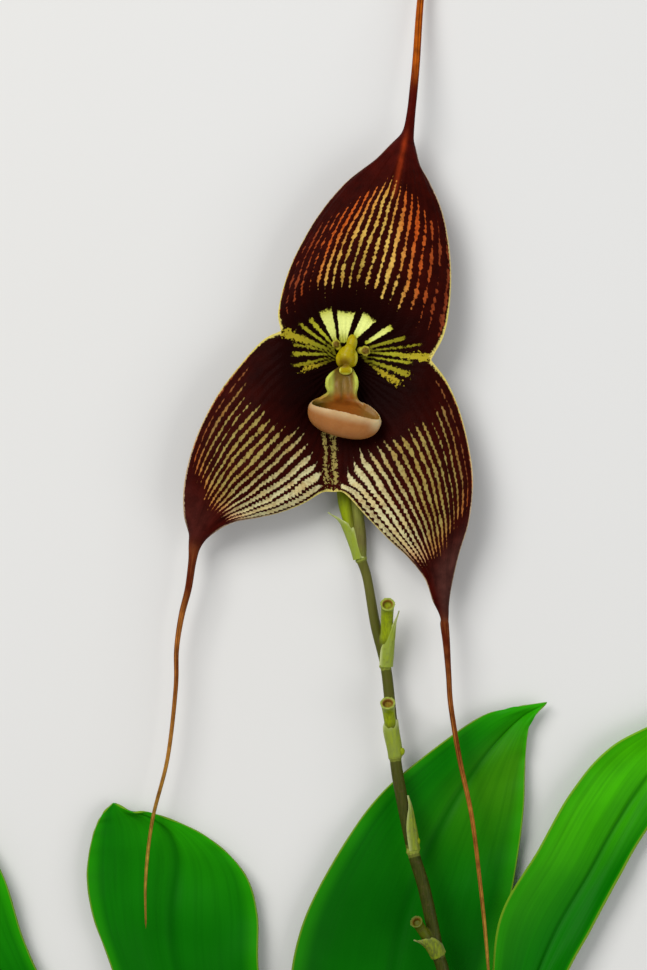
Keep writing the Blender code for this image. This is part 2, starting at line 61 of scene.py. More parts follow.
# Kinds of shader node
MATH = "ShaderNodeMath"
NOISE = "ShaderNodeTexNoise"
RANGE = "ShaderNodeMapRange"
MIX = "ShaderNodeMix"
ATTRIBUTE = "ShaderNodeAttribute"
COORDINATES = "ShaderNodeTexCoord"
BUMP = "ShaderNodeBump"
COMBINE = "ShaderNodeCombineXYZ"
SEPARATE = "ShaderNodeSeparateXYZ"
UV_MAP = "ShaderNodeUVMap"
MAPPING = "ShaderNodeMapping"
CELLS = "ShaderNodeTexVoronoi"
DICE = "ShaderNodeTexWhiteNoise"

# Grain of the patterns in features per metre: 2200 is a grain of about 0.45 mm
RAGGED_GRAIN = 2200.0
SPECK_GRAIN = 1500.0
DULL_GRAIN = 900.0
CLOUD_GRAIN = 420.0
SKIN_GRAIN = 2400.0
RIND_STREAK_GRAIN = 2600.0
RIND_FLECK_GRAIN = 1300.0
FLESH_MOTTLE_GRAIN = 500.0
LEAF_PATCH_GRAIN = 42.0
BARK_GRAIN = 500.0
SHEATH_GRAIN = 260.0
FLOOR_GRAIN = 3.0
# Voxel in mm and rounds of smoothing of each form that is fused from several
FUSING = {"lip": (0.17, 5), "column": (0.13, 22), "petal": (0.09, 2), "stem": (0.2, 3),
          "rhizome": (0.25, 2)}
# What a colour is multiplied by where it turns warmer, duller or deeper: linear red, green and blue
WARMER = (1.0, 0.74, 0.46)
DULLER = (0.45, 0.30, 0.20)
DEEPER = (0.72, 0.60, 0.45)

# Sepal outlines from the centre of the cup, each station (left, midrib, right)
DORSAL = [
    ((0.0, 0.0, 6.5), (0.0, 0.0, 6.5), (0.0, 0.0, 6.5)),
    ((-7.0, 3.4, 8.4), (0.9, 7.3, 8.0), (9.5, 0.2, 8.4)),
    ((-14.1, 6.8, 10.6), (1.5, 13.6, 10.4), (18.9, 0.4, 10.6)),
    ((-14.7, 11.0, 9.6), (2.6, 19.8, 12.2), (22.0, 6.6, 9.6)),
    ((-13.2, 17.8, 8.9), (4.4, 25.7, 13.0), (23.3, 15.8, 8.9)),
    ((-10.6, 24.2, 8.7), (6.6, 31.7, 13.1), (23.1, 24.2, 8.7)),
    ((-5.9, 32.3, 8.7), (8.6, 37.0, 12.4), (21.6, 32.6, 8.7)),
    ((0.2, 39.6, 8.6), (10.6, 42.0, 11.0), (18.9, 39.2, 8.6)),
    ((7.5, 45.3, 8.1), (12.5, 46.9, 9.4), (16.3, 44.0, 8.1)),
    ((12.1, 50.4, 7.5), (13.9, 50.4, 7.8), (15.2, 49.3, 7.5)),
]
LATERAL_LEFT = [
    ((0.0, 0.0, 6.5), (0.0, 0.0, 6.5), (0.0, 0.0, 6.5)),
    ((-1.3, -14.5, 7.0), (-5.1, -5.9, 8.0), (-7.0, 3.4, 8.4)),
    ((-2.6, -28.6, 8.2), (-9.9, -11.7, 10.6), (-14.1, 6.8, 10.6)),
    ((-5.1, -28.8, 8.6), (-14.3, -16.3, 12.4), (-18.3, 4.6, 9.6)),
    ((-9.2, -31.2, 8.9), (-18.3, -20.5, 13.2), (-23.8, -1.5, 8.9)),
    ((-14.3, -33.2, 8.9), (-22.2, -24.4, 13.2), (-28.8, -8.4, 8.7)),
    ((-19.6, -34.4, 8.8), (-25.7, -28.2, 12.2), (-33.0, -17.2, 8.7)),
    ((-24.0, -35.2, 8.5), (-28.6, -31.7, 10.8), (-35.4, -26.2, 8.6)),
    ((-27.9, -37.0, 8.1), (-31.0, -35.4, 9.2), (-35.6, -33.7, 8.1)),
    ((-31.2, -39.8, 7.4), (-33.0, -39.8, 7.6), (-34.8, -38.9, 7.5)),
]
LATERAL_RIGHT = [
    ((0.0, 0.0, 6.5), (0.0, 0.0, 6.5), (0.0, 0.0, 6.5)),
    ((9.5, 0.2, 8.4), (4.6, -7.9, 8.0), (-1.3, -14.5, 7.0)),
    ((18.9, 0.4, 10.6), (9.0, -15.0, 10.6), (-2.6, -28.6, 8.2)),
    ((22.4, -4.2, 9.6), (12.5, -20.9, 12.4), (0.0, -29.0, 8.6)),
    ((25.3, -10.8, 8.9), (15.2, -26.4, 13.2), (4.6, -33.9, 8.9)),
    ((27.3, -18.7, 8.7), (17.4, -32.1, 13.2), (9.7, -39.2, 8.9)),
    ((28.2, -26.4, 8.7), (19.1, -37.6, 12.2), (13.9, -43.1, 8.8)),
    ((27.3, -35.2, 8.6), (20.2, -42.9, 10.8), (17.4, -47.5, 8.5)),
    ((24.9, -43.6, 8.1), (20.9, -48.4, 9.2), (19.1, -51.7, 8.1)),
    ((23.1, -56.0, 7.4), (21.95, -56.0, 7.5), (20.8, -56.0, 7.3)),
]

# Tails from the centre of the cup, from the tip of the blade, each point (x, y, z, radius)
TAIL_DORSAL = [
    (14.0, 51.0, 7.7, 1.15), (14.6, 55.0, 7.3, 1.12), (15.2, 60.5, 6.6, 1.06), (15.8, 67.0, 5.6, 1.0),
    (16.7, 79.6, 3.6, 0.9), (18.3, 95.0, 2.2, 0.75), (20.0, 110.4, 1.5, 0.6), (21.3, 123.6, 1.1, 0.48),
    (21.8, 134.4, 1.0, 0.26),
]
TAIL_LEFT = [
    (-33.1, -40.4, 7.5, 1.2), (-33.7, -44.0, 7.1, 1.05), (-34.6, -50.0, 6.6, 0.9),
    (-36.1, -56.0, 6.4, 0.78), (-37.2, -63.4, 6.3, 0.65), (-37.4, -72.2, 6.3, 0.58),
    (-39.2, -87.6, 6.4, 0.52), (-42.5, -101.0, 6.6, 0.47), (-44.0, -113.9, 6.5, 0.4),
    (-44.0, -125.2, 6.2, 0.22),
]
TAIL_RIGHT = [
    (21.8, -54.8, 7.5, 1.35), (22.0, -58.0, 7.3, 1.13), (22.4, -62.0, 7.2, 0.95),
    (22.9, -69.0, 7.2, 0.72), (23.4, -76.0, 7.3, 0.68), (25.3, -87.6, 7.7, 0.64),
    (27.9, -99.9, 8.1, 0.58), (29.7, -114.0, 8.4, 0.52), (31.2, -128.7, 8.6, 0.44),
    (32.1, -141.9, 8.6, 0.24),
]
SEPALS = {"dorsal": (DORSAL, TAIL_DORSAL), "left": (LATERAL_LEFT, TAIL_LEFT),
          "right": (LATERAL_RIGHT, TAIL_RIGHT)}

# Leaves from the origin, each station (left edge, midrib, right edge)
LEAF_LEFT = [
    ((-9.5, 35.2, 3.2), (-7.7, 35.0, 3.2), (-5.9, 35.2, 3.2)),
    ((-23.1, 56.1, 5.4), (-16.3, 55.0, 2.2), (-9.2, 55.0, 5.4)),
    ((-42.9, 80.3, 5.6), (-29.7, 78.1, 1.5), (-17.6, 77.0, 5.6)),
    ((-53.9, 99.0, 5.0), (-39.6, 96.8, 1.1), (-23.8, 95.7, 5.0)),
    ((-59.8, 115.3, 4.2), (-44.9, 113.3, 0.9), (-26.8, 113.3, 4.4)),
    ((-63.6, 125.8, 3.8), (-46.6, 125.4, 0.9), (-27.1, 125.8, 4.2)),
    ((-64.9, 134.6, 3.6), (-48.8, 136.0, 1.2), (-30.1, 135.3, 4.0)),
    ((-63.8, 142.6, 3.4), (-52.8, 143.4, 1.8), (-38.5, 143.2, 3.6)),
    ((-61.8, 147.6, 3.0), (-56.8, 148.1, 2.2), (-50.2, 148.3, 3.0)),
    ((-59.2, 150.5, 2.4), (-59.2, 150.5, 2.4), (-59.2, 150.5, 2.4)),
]
LEAF_MIDDLE = [
    ((-0.7, 37.4, 3.2), (1.1, 37.2, 3.2), (2.9, 37.4, 3.2)),
    ((-8.8, 57.2, 4.6), (-0.9, 56.1, 2.2), (7.0, 57.2, 4.4)),
    ((-16.5, 83.6, 4.8), (-0.4, 81.4, 1.5), (15.8, 83.6, 4.0)),
    ((-19.8, 105.6, 4.6), (1.8, 103.4, 1.1), (23.5, 106.7, 3.4)),
    ((-17.6, 122.1, 4.4), (4.8, 122.1, 0.9), (28.2, 125.4, 2.9)),
    ((-10.3, 137.5, 4.2), (9.5, 136.0, 0.9), (30.4, 136.8, 2.8)),
    ((-0.4, 151.8, 4.0), (15.4, 148.5, 1.2), (31.9, 148.5, 2.9)),
    ((11.0, 161.7, 3.8), (21.6, 158.4, 1.8), (32.3, 158.4, 3.0)),
    ((22.0, 169.4, 3.4), (27.9, 166.1, 2.3), (32.8, 165.4, 3.0)),
    ((29.0, 171.6, 3.0), (32.3, 170.1, 2.6), (33.9, 169.0, 2.8)),
    ((37.2, 172.9, 2.6), (37.2, 172.9, 2.6), (37.2, 172.9, 2.6)),
]
LEAF_RIGHT = [
    ((14.0, 35.2, 3.2), (15.8, 35.0, 3.2), (17.6, 35.2, 3.2)),
    ((16.0, 57.2, 6.0), (19.6, 56.1, 3.6), (23.1, 57.6, 5.8)),
    ((19.2, 81.4, 7.0), (26.0, 81.8, 3.6), (32.0, 84.7, 6.4)),
    ((24.2, 105.6, 7.2), (32.6, 105.6, 3.2), (39.4, 108.9, 6.2)),
    ((26.6, 125.4, 6.8), (38.9, 121.4, 2.2), (46.9, 123.2, 5.4)),
    ((35.2, 140.4, 6.0), (46.4, 134.2, 1.3), (52.6, 133.8, 4.6)),
    ((42.2, 152.7, 5.2), (52.6, 145.6, 0.9), (58.9, 144.5, 4.2)),
    ((51.0, 162.8, 4.8), (60.9, 158.0, 0.9), (68.4, 157.1, 4.0)),
    ((62.7, 169.0, 4.4), (71.5, 168.8, 1.4), (79.0, 168.6, 3.8)),
    ((75.9, 176.0, 3.6), (82.0, 178.5, 2.2), (87.5, 180.0, 3.4)),
    ((94.6, 187.0, 2.6), (94.6, 187.0, 2.6), (94.6, 187.0, 2.6)),
]
LEAF_FAR_LEFT = [
    ((-18.3, 35.2, 3.2), (-16.5, 35.0, 3.2), (-14.7, 35.2, 3.2)),
    ((-36.3, 52.8, 5.2), (-30.8, 50.0, 2.2), (-26.0, 49.5, 5.2)),
    ((-62.7, 71.5, 5.4), (-52.8, 68.2, 1.5), (-44.5, 70.5, 5.4)),
    ((-81.4, 88.0, 5.0), (-70.4, 86.9, 0.9), (-60.5, 93.0, 5.0)),
    ((-94.6, 103.4, 4.6), (-83.2, 104.5, 0.9), (-72.6, 107.8, 4.6)),
    ((-102.3, 118.8, 4.2), (-91.3, 119.9, 1.2), (-78.8, 119.9, 4.2)),
    ((-106.7, 134.2, 3.8), (-97.2, 134.2, 1.6), (-83.5, 134.6, 4.0)),
    ((-106.7, 147.4, 3.2), (-100.8, 147.4, 2.2), (-91.1, 146.3, 3.4)),
    ((-103.8, 157.3, 2.4), (-103.8, 157.3, 2.4), (-103.8, 157.3, 2.4)),
]
LEAVES = {"leaf_left": LEAF_LEFT, "leaf_middle": LEAF_MIDDLE, "leaf_right": LEAF_RIGHT,
          "leaf_far_left": LEAF_FAR_LEFT}

# The photograph's frame: its size in pixels, the size of one, and where its middle falls
PHOTO_SIZE = (647, 970)
PHOTO_PIXEL = 0.22 * MM
ORIGIN_PIXEL = (380, 1490)


def srgb(code):
    """Linear colour from an sRGB hex value."""
    parts = [int(code[i:i + 2], 16) / 255 for i in (0, 2, 4)]
    return tuple(p / 12.92 if p <= 0.04045 else ((p + 0.055) / 1.055) ** 2.4 for p in parts)


def hue(name, description, code):
    """A colour setting whose default is an sRGB hex value."""
    return FloatVectorProperty(name=name, description=description, subtype="COLOR", size=3,
                               min=0.0, max=1.0, default=srgb(code))


def measure(name, description, millimetres):
    """A length setting in metres whose default is given in millimetres."""
    return FloatProperty(name=name, description=description, unit="LENGTH", min=0.0,
                         default=millimetres * MM)


# Stripes of a sepal as photographed, which the tables of their starts and ends go with
STRIPES = 19


class OrchidSepals(bpy.types.PropertyGroup):
    """Sizes and colours of the three sepals"""
    stripes: IntProperty(name="Stripes", description="Stripes across each sepal",
                         default=STRIPES, min=8, max=40)
    thickness: measure("Thickness", "Thickness of a sepal's blade", 0.5)
    rim_width: measure("Rim width", "Width of the pale line along the margins", 0.34)
    maroon: hue("Maroon", "Ground of the sepals", "350803")
    dark: hue("Dark", "Ground near the middle of the flower", "130201")
    tip: hue("Tip", "Ground at the tips of the blades", "440d07")
    streak: hue("Streak", "Midrib streak at the tip of the upper sepal", "9a3414")
    # Painted sheen: greyish purple on the tips of the lower sepals that stands in for the sheen of light
    # on them
    tip_sheen: hue("Haze", "Dusty purple tips of the lower sepals", "56332c")
    yellow: hue("Yellow", "Middle stripes of the upper sepal", "d9b558")
    orange: hue("Orange", "Stripes further out on the upper sepal", "c45c22")
    rust: hue("Rust", "Outermost stripes", "80391e")
    tan: hue("Tan", "Outer stripes of the lower sepals", "9c8c4c")
    cream: hue("Cream", "Inner stripes of the lower sepals", "d2cb98")
    ray: hue("Ray", "Brightest rays around the column", "f3fa92")
    ray_middle: hue("Middle ray", "Rays of middling brightness", "b9bb30")
    ray_side: hue("Side ray", "Dullest rays around the column", "5e560c")
    ray_gold: hue("Gold speck", "Specks beside the notches between the sepals", "b8a028")
    rim: hue("Rim", "Pale line along the margins", "dccb6c")
    rim_far: hue("Far rim", "The same line near the tips", "c4a884")
    back: hue("Back", "Undersides of the sepals", "7d6540")
    tail_red: hue("Tail red", "Foot of the upper tail", "4c0c04")
    tail_orange: hue("Tail orange", "Middle of the upper tail", "c86210")
    tail_gold: hue("Tail gold", "End of the upper tail", "dfa42a")
    tail_brown: hue("Tail brown", "Feet of the lower tails", "763c1a")
    tail_tan: hue("Tail tan", "Middles of the lower tails", "b2702e")
    tail_ochre: hue("Tail ochre", "Ends of the lower tails", "b8943a")


class OrchidFace(bpy.types.PropertyGroup):
    """Sizes and colours of the lip, the column and the petals"""
    pouch_wide: measure("Pouch width", "Half of the lip pouch's width", 8.2)
    pouch_deep: measure("Pouch depth", "Half of the lip pouch's depth", 4.3)
    pouch_tall: measure("Pouch height", "Height of the lip pouch below its middle", 5.6)
    peach: hue("Peach", "Front of the pouch", "aa6f3b")
    blush: hue("Blush", "Foot and ends of the pouch", "96602f")
    amber: hue("Amber", "Inside of the pouch", "9c5a1c")
    neck_cream: hue("Neck cream", "Side lobes of the lip's neck", "c6d35a")
    neck_tan: hue("Neck tan", "Trough of the lip's neck", "84662b")
    # Painted highlight colour, laid along the top of the pouch's rim and on its lit right end
    shine: hue("Shine", "Palest part of the pouch's rim", "dcc898")
    yellow: hue("Yellow", "Column", "ad9c04")
    lemon: hue("Lemon", "Lit edges of the column", "d9dc58")
    # Painted shade colour: laid in the column's hollows, deep in the pouch and in the neck's trough and
    # groove
    olive: hue("Olive", "Shaded hollows of the column", "5c4a02")
    brown: hue("Brown", "Warts of the petals", "5e3a04")


class OrchidGreenery(bpy.types.PropertyGroup):
    """Colours of the stem, the leaves, the rhizome and the roots"""
    stem_green: hue("Stem green", "Joints and young parts of the stem", "94a03c")
    stem_olive: hue("Stem olive", "Stem between its joints", "4b4d14")
    stem_dark: hue("Stem dark", "Oldest part of the stem", "2c3308")
    stem_purple: hue("Stem purple", "Purple flush and flecks of the stem", "5a4430")
    scar: hue("Scar", "Hollows where flowers have dropped", "8e5c24")
    bract: hue("Bract", "Papery bracts", "87953a")
    bract_tip: hue("Bract tip", "Thin edges and points of the bracts", "cdd394")
    pedicel: hue("Pedicel", "Flower's own stalk", "8c9c0c")
    leaf_fresh: hue("Fresh leaf", "Lit part of the youngest leaf", "52cc02")
    leaf_light: hue("Leaf light", "Lit parts of the leaves", "2da302")
    leaf_olive: hue("Leaf olive", "Thin patches of the middle leaf", "3a8006")
    leaf_deep: hue("Leaf deep", "Deep parts of the leaves", "0b6e02")
    # At the feet of the leaves this dark green is painted shade; along the midribs and veins it is their
    # own colour
    leaf_dark: hue("Leaf dark", "Feet and midribs of the leaves", "025200")
    leaf_margin: hue("Leaf margin", "Thin margins of the leaves", "8f9a2c")
    bark: hue("Bark", "Rhizome", "7a5c3a")
    bark_dark: hue("Bark dark", "Cracks of the rhizome", "3d2a1a")
    sheath: hue("Sheath", "Papery sheaths at the leaf bases", "b39d75")
    root: hue("Root", "Roots", "a39a84")
    root_tip: hue("Root tip", "Growing tips of the roots", "8fa04a")


class OrchidStage(bpy.types.PropertyGroup):
    """Floor, light and camera"""
    floor: hue("Floor", "Pale floor", "dcdad5")
    sky: hue("Room", "Light of the pale room", "e6e9ee")
    room_light: FloatProperty(name="Room light", description="Strength of the room's light",
                              default=0.42, min=0.0)
    key_power: FloatProperty(name="Key light", description="Power of the key light",
                             unit="POWER", default=20.0)
    fill_power: FloatProperty(name="Fill light", description="Power of the fill light",
                              unit="POWER", default=6.0)
    lens: FloatProperty(name="Lens", description="Focal length in millimetres",
                        unit="CAMERA", default=135.0)


def add(tree, kind, inputs=(), out=0, **settings):
    """Adds a node, sets it up, joins or sets its inputs, and returns one of its outputs."""
    made = tree.nodes.new(kind)
    for key, value in settings.items():
        setattr(made, key, value)
    pairs = inputs.items() if isinstance(inputs, dict) else enumerate(inputs)
    for key, value in pairs:
        socket = made.inputs[key]
        if isinstance(value, bpy.types.NodeSocket):
            tree.links.new(value, socket)
        elif socket.type == "RGBA":
            socket.default_value = (*tuple(value)[:3], 1.0)
        else:
            socket.default_value = value
    return made.outputs[out]


def material(name):
    """A new material, its node tree and its shader."""
    made = bpy.data.materials.new(name)
    made.use_nodes = True
    return made, made.node_tree, made.node_tree.nodes["Principled BSDF"]


def smooth_step(low, high, value):
    """0 below low, 1 above high, and smooth between, for numbers and arrays."""
    share = np.clip((np.asarray(value, float) - low) / (high - low), 0.0, 1.0)
    return share * share * (3.0 - 2.0 * share)


def catmull(points, t):
    """Point at t along a smooth curve that passes through every given point."""
    last = len(points) - 1
    k = min(max(int(t), 0), last - 1)
    f = t - k
    b = Vector(points[k])
    c = Vector(points[k + 1])
    a = Vector(points[k - 1]) if k > 0 else b * 2 - c
    d = Vector(points[k + 2]) if k + 2 <= last else c * 2 - b
    return 0.5 * (2 * b + (c - a) * f + (2 * a - 5 * b + 4 * c - d) * f * f
                  + (3 * b - a - 3 * c + d) * f * f * f)


def edge_at(points, t, corner):
    """Like catmull, but straight up to the corner station, where the outline turns sharply."""
    if t <= corner:
        k = min(int(t), corner - 1)
        return Vector(points[k]).lerp(Vector(points[k + 1]), t - k)
    return catmull(points[corner:], t - corner)


def only(piece):
    """Selects this piece alone and makes it the active one."""
    bpy.ops.object.select_all(action="DESELECT")
    piece.select_set(True)
    bpy.context.view_layer.objects.active = piece


def sheet(name, columns, rows, place):
    """A grid whose every point (across, along), each 0 to 1, goes to its place in millimetres."""
    bpy.ops.object.select_all(action="DESELECT")
    bpy.ops.mesh.primitive_grid_add(x_subdivisions=columns, y_subdivisions=rows, size=1.0)
    made = bpy.context.object
    made.name = name
    for vertex in made.data.vertices:
        vertex.co = Vector(place(vertex.co.x + 0.5, vertex.co.y + 0.5)) * MM
    return made


def round_form(name, segments, rings, place):
    """A ball whose every point (along 0 to 1 from pole to pole, turn in radians) goes to its place."""
    bpy.ops.object.select_all(action="DESELECT")
    bpy.ops.mesh.primitive_uv_sphere_add(segments=segments, ring_count=rings, radius=1.0)
    made = bpy.context.object
    made.name = name
    for vertex in made.data.vertices:
        along = math.acos(min(max(-vertex.co.z, -1.0), 1.0)) / math.pi
        turn = math.atan2(vertex.co.y, vertex.co.x)
        vertex.co = Vector(place(along, turn)) * MM
    return made


def apply_modifier(piece, kind, **settings):
    """Adds a modifier, sets it up and applies it."""
    only(piece)
    made = piece.modifiers.new(kind.title(), kind)
    for key, value in settings.items():
        setattr(made, key, value)
    bpy.ops.object.modifier_apply(modifier=made.name)
    return piece


def lay_flat(piece):
    """Presses what would reach below the surface flat against it."""
    for vertex in piece.data.vertices:
        vertex.co.z = max(vertex.co.z, 0.0)


def spots_of(piece):
    """Every point of a piece, in millimetres from the centre of the cup."""
    spots = np.empty(len(piece.data.vertices) * 3)
    piece.data.vertices.foreach_get("co", spots)
    return spots.reshape(-1, 3) / MM - np.array(CUP)


def sheet_shares(columns, rows):
    """Share across and share along of every point of a sheet."""
    across = np.tile(np.arange(columns + 1) / columns, rows + 1)
    return across, np.repeat(np.arange(rows + 1) / rows, columns + 1)


def move_uv(piece, name, rule):
    """Names the UV map of a piece and moves each of its places by a rule."""
    layer = piece.data.uv_layers[0]
    layer.name = name
    places = np.empty(len(layer.uv) * 2)
    layer.uv.foreach_get("vector", places)
    layer.uv.foreach_set("vector", rule(places.reshape(-1, 2)).ravel())


def opaque(colours):
    """Colours with an alpha of one."""
    return np.hstack([colours, np.ones((len(colours), 1))])


def join(name, parts):
    """Joins the parts into one piece."""
    only(parts[0])
    for part in parts:
        part.select_set(True)
    bpy.ops.object.join()
    parts[0].name = name
    return parts[0]


def merge_points(piece, distance, outwards=False):
    """Merges points that lie closer than a distance in mm, and may turn every face outwards."""
    only(piece)
    bpy.ops.object.mode_set(mode="EDIT")
    bpy.ops.mesh.select_all(action="SELECT")
    bpy.ops.mesh.remove_doubles(threshold=distance * MM)
    if outwards:
        bpy.ops.mesh.normals_make_consistent(inside=False)
    bpy.ops.object.mode_set(mode="OBJECT")


def close_seams(piece, distance=0.01):
    """Merges doubled points and turns every face outwards."""
    merge_points(piece, distance, outwards=True)
    return piece


def fuse(name, parts, kind):
    """Grows overlapping parts together into one skin, and softens the creases between them."""
    voxel, smoothing = FUSING[kind]
    piece = join(name, [close_seams(part) for part in parts])
    apply_modifier(piece, "REMESH", mode="VOXEL", voxel_size=voxel * MM)
    apply_modifier(piece, "SMOOTH", factor=0.5, iterations=smoothing)
    return piece


def dress(piece, looks, nodes=(), angle=60.0):
    """Gives a finished piece its materials, its smooth shading and its body, and hides the nodes that it
    stands for.
    """
    piece.data.name = piece.name
    for look in looks:
        piece.data.materials.append(look)
    only(piece)
    bpy.ops.object.shade_smooth_by_angle(angle=math.radians(angle))
    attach(piece, "root")
    if nodes:
        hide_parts(*nodes)
    return piece


def path_frame(path, t):
    """Place, radius, direction, side and up at t along a path of (x, y, z, radius)."""
    step = 0.05
    upright = 0.02
    here = catmull(path, t)
    ahead = catmull(path, min(t + step, len(path) - 1)).to_3d()
    behind = catmull(path, max(t - step, 0.0)).to_3d()
    heading = (ahead - behind).normalized()
    side = heading.cross(Vector((0.0, 0.0, 1.0)))
    side = side.normalized() if side.length > upright else Vector((1.0, 0.0, 0.0))
    return here.to_3d(), here[3], heading, side, side.cross(heading)


def on_ring(here, radius, side, up, turn):
    """Point on a ring around here, at an angle from its side towards its up."""
    return here + side * (radius * math.cos(turn)) + up * (radius * math.sin(turn))


def stalk(name, path, segments, rings, offset=(0, 0, 0), skin=None):
    """A closed round stalk along a path; skin(t, turn) scales its radius from place to place."""
    def place(along, turn):
        share = min(max((along * rings - 1.0) / (rings - 2.0), 0.0), 1.0)
        t = share * (len(path) - 1)
        here, radius, _, side, up = path_frame(path, t)
        if along < 1e-4 or along > 1.0 - 1e-4:
            radius = 0.0
        if skin:
            radius *= skin(t, turn)
        return on_ring(here + Vector(offset), radius, side, up, turn)
    return round_form(name, segments, rings, place)


def knob(name, centre, half, segments=32, rings=20, lean=(0.0, 0.0, 0.0), warts=0.0, wart_size=0.5):
    """An egg-shaped body with half sizes along X, Y and Z, leaned and roughened by warts."""
    basis = Euler([math.radians(angle) for angle in lean]).to_matrix()

    def place(along, turn):
        ring = math.sin(along * math.pi)
        unit = Vector((ring * math.cos(turn), ring * math.sin(turn), -math.cos(along * math.pi)))
        spot = basis @ Vector([unit[i] * half[i] for i in range(3)]) + Vector(centre)
        return spot + unit * warts * noise.noise(spot / wart_size)
    return round_form(name, segments, rings, place)


def paint(piece, name, kind, values):
    """Keeps one value for each point on the corners of its faces, so that a merged seam keeps both."""
    corners = np.empty(len(piece.data.loops), int)
    piece.data.loops.foreach_get("vertex_index", corners)
    layer = piece.data.attributes.new(name, kind, "CORNER")
    key = {"FLOAT": "value", "FLOAT_VECTOR": "vector", "FLOAT_COLOR": "color"}[kind]
    layer.data.foreach_set(key, values[corners].astype(np.float32).ravel())


def blend(first, second, share):
    """Mixes two colours or columns of colours by a share for each point."""
    share = np.asarray(share, float)[:, None]
    return np.asarray(first, float) * (1.0 - share) + np.asarray(second, float) * share


# Sepals: where the blades roll into the tails, in stations, and how fine the mesh is
ROLL_START = 7.5
ROLL_END = 9.8
ROWS_PER_STATION = 8
SEPAL_COLUMNS = 80
UV_STATIONS = 20.0
TAIL_SLIMMING = 0.86
TAIL_TIP_RADIUS = 0.02
# Half of the turn that a blade spans where it starts to roll, in degrees
ROLL_OPENING = 24.0
# Relief of the blades in mm: lengthwise folds, slow waves, and waves of the margins
FOLDS = 5
FOLD_HEIGHT = 0.30
WAVE_HEIGHT = 0.9
MARGIN_WAVE_HEIGHT = 0.55
# Where the tails change colour: start station, end station and the colour's setting
TAIL_TINTS = {
    "dorsal": ((8.4, 9.6, "tail_red"), (10.6, 12.6, "tail_orange"), (12.8, 15.6, "tail_gold")),
    "left": ((8.6, 10.0, "tail_brown"), (10.5, 13.0, "tail_tan"), (13.5, 17.0, "tail_ochre")),
    "right": ((8.6, 10.0, "tail_brown"), (11.0, 14.5, "tail_tan"), (15.0, 18.0, "tail_ochre")),
}
# How strongly the painted sheen, a greyish purple standing in for light on the tips, lies on each lower
# sepal
TIP_SHEEN = {"left": 0.25, "right": 0.75}
# Share of a blade's thickness left at three stations of its tail, then at its last two
THIN_STATIONS = (8.0, 9.2, 10.5)
THINNING = (1.0, 0.8, 0.55, 0.3, 0.08)
# Rays around the column, from the cup's centre: foot, end, half widths there, brightness, speckle
RAYS = [
    ((-0.4, 4.8), (0.2, 11.1), 0.81, 1.98, 1.00, 0.00),
    ((2.1, 5.4), (5.4, 10.0), 0.51, 1.76, 1.00, 0.00),
    ((4.6, 4.2), (10.2, 7.7), 0.40, 0.70, 0.85, 0.10),
    ((5.5, 3.3), (13.4, 5.3), 0.33, 0.48, 0.18, 0.15),
    ((5.5, 2.6), (16.7, 3.6), 0.18, 0.29, 0.16, 0.20),
    ((5.9, 2.1), (18.9, 0.9), 0.22, 0.95, 0.30, 0.85),
    ((4.0, 1.4), (14.7, -0.3), 0.22, 0.33, 0.28, 0.15),
    ((4.0, 0.9), (14.2, -2.9), 0.22, 0.73, 0.17, 0.40),
    ((3.5, 1.0), (11.6, -4.6), 0.18, 0.73, 0.05, 1.00),
    ((-1.9, 4.1), (-4.4, 11.4), 0.40, 1.54, 0.90, 0.10),
    ((-2.5, 3.7), (-7.6, 9.3), 0.26, 0.55, 0.42, 0.20),
    ((-2.7, 3.0), (-10.0, 8.3), 0.22, 0.48, 0.27, 0.20),
    ((-2.9, 2.6), (-13.8, 6.6), 0.22, 1.10, 0.20, 0.80),
    ((-2.6, 2.2), (-11.4, 3.9), 0.15, 0.37, 0.15, 0.25),
    ((-2.4, 1.8), (-11.6, 1.7), 0.22, 0.55, 0.24, 0.25),
    ((-2.4, 1.3), (-11.4, -1.0), 0.18, 0.51, 0.13, 0.35),
    ((-2.1, 0.7), (-9.5, -1.8), 0.22, 0.66, 0.03, 1.00),
]
# Where the stripes of the lower sepals begin: share of the way to the inner edge, and station
LEFT_STARTS = ((0.0, 0.06, 0.16, 0.22, 0.38, 0.47, 0.53, 0.60, 0.75, 0.86, 0.97),
               (3.2, 3.5, 3.8, 3.4, 3.1, 2.85, 2.35, 2.0, 2.1, 2.1, 2.6))
RIGHT_STARTS = ((0.0, 0.06, 0.10, 0.20, 0.35, 0.44, 0.56, 0.66, 0.74, 0.88, 0.97),
                (2.3, 2.35, 3.0, 2.85, 2.6, 2.5, 2.1, 1.9, 1.75, 2.0, 2.1))
# Where the stripes of each sepal end: share of the way to the inner edge, and station
LEFT_ENDS = ((0.0, 0.4, 0.75, 1.0), (6.8, 7.5, 7.5, 7.2))
RIGHT_ENDS = ((0.0, 0.4, 0.75, 1.0), (6.9, 7.4, 7.0, 6.4))
# Midrib streak at the tip of the upper sepal, from the cup's centre: y, then x
STREAK = ((35.0, 47.7, 52.0, 56.0), (10.4, 13.0, 13.9, 14.6))


def sepal_lines(stations, tail):
    """Left edge, midrib, right edge and the logarithm of the half width at each station."""
    left = [Vector(station[0]) for station in stations]
    middle = [Vector(station[1]) for station in stations]
    right = [Vector(station[2]) for station in stations]
    half = [max(0.5 * (right[i] - left[i]).length, 0.5) for i in range(len(stations))]
    half[-1] *= TAIL_SLIMMING
    for i in range(1, len(tail)):
        here = Vector(tail[i][:3])
        heading = (here - Vector(tail[i - 1][:3])).normalized()
        side = heading.cross(Vector((0.0, 0.0, 1.0))).normalized() * tail[i][3]
        left.append(here - side)
        right.append(here + side)
        middle.append(here + Vector((0.0, 0.0, tail[i][3])))
        half.append(tail[i][3] * TAIL_SLIMMING)
    return left, middle, right, [(math.log(value), 0.0, 0.0) for value in half]


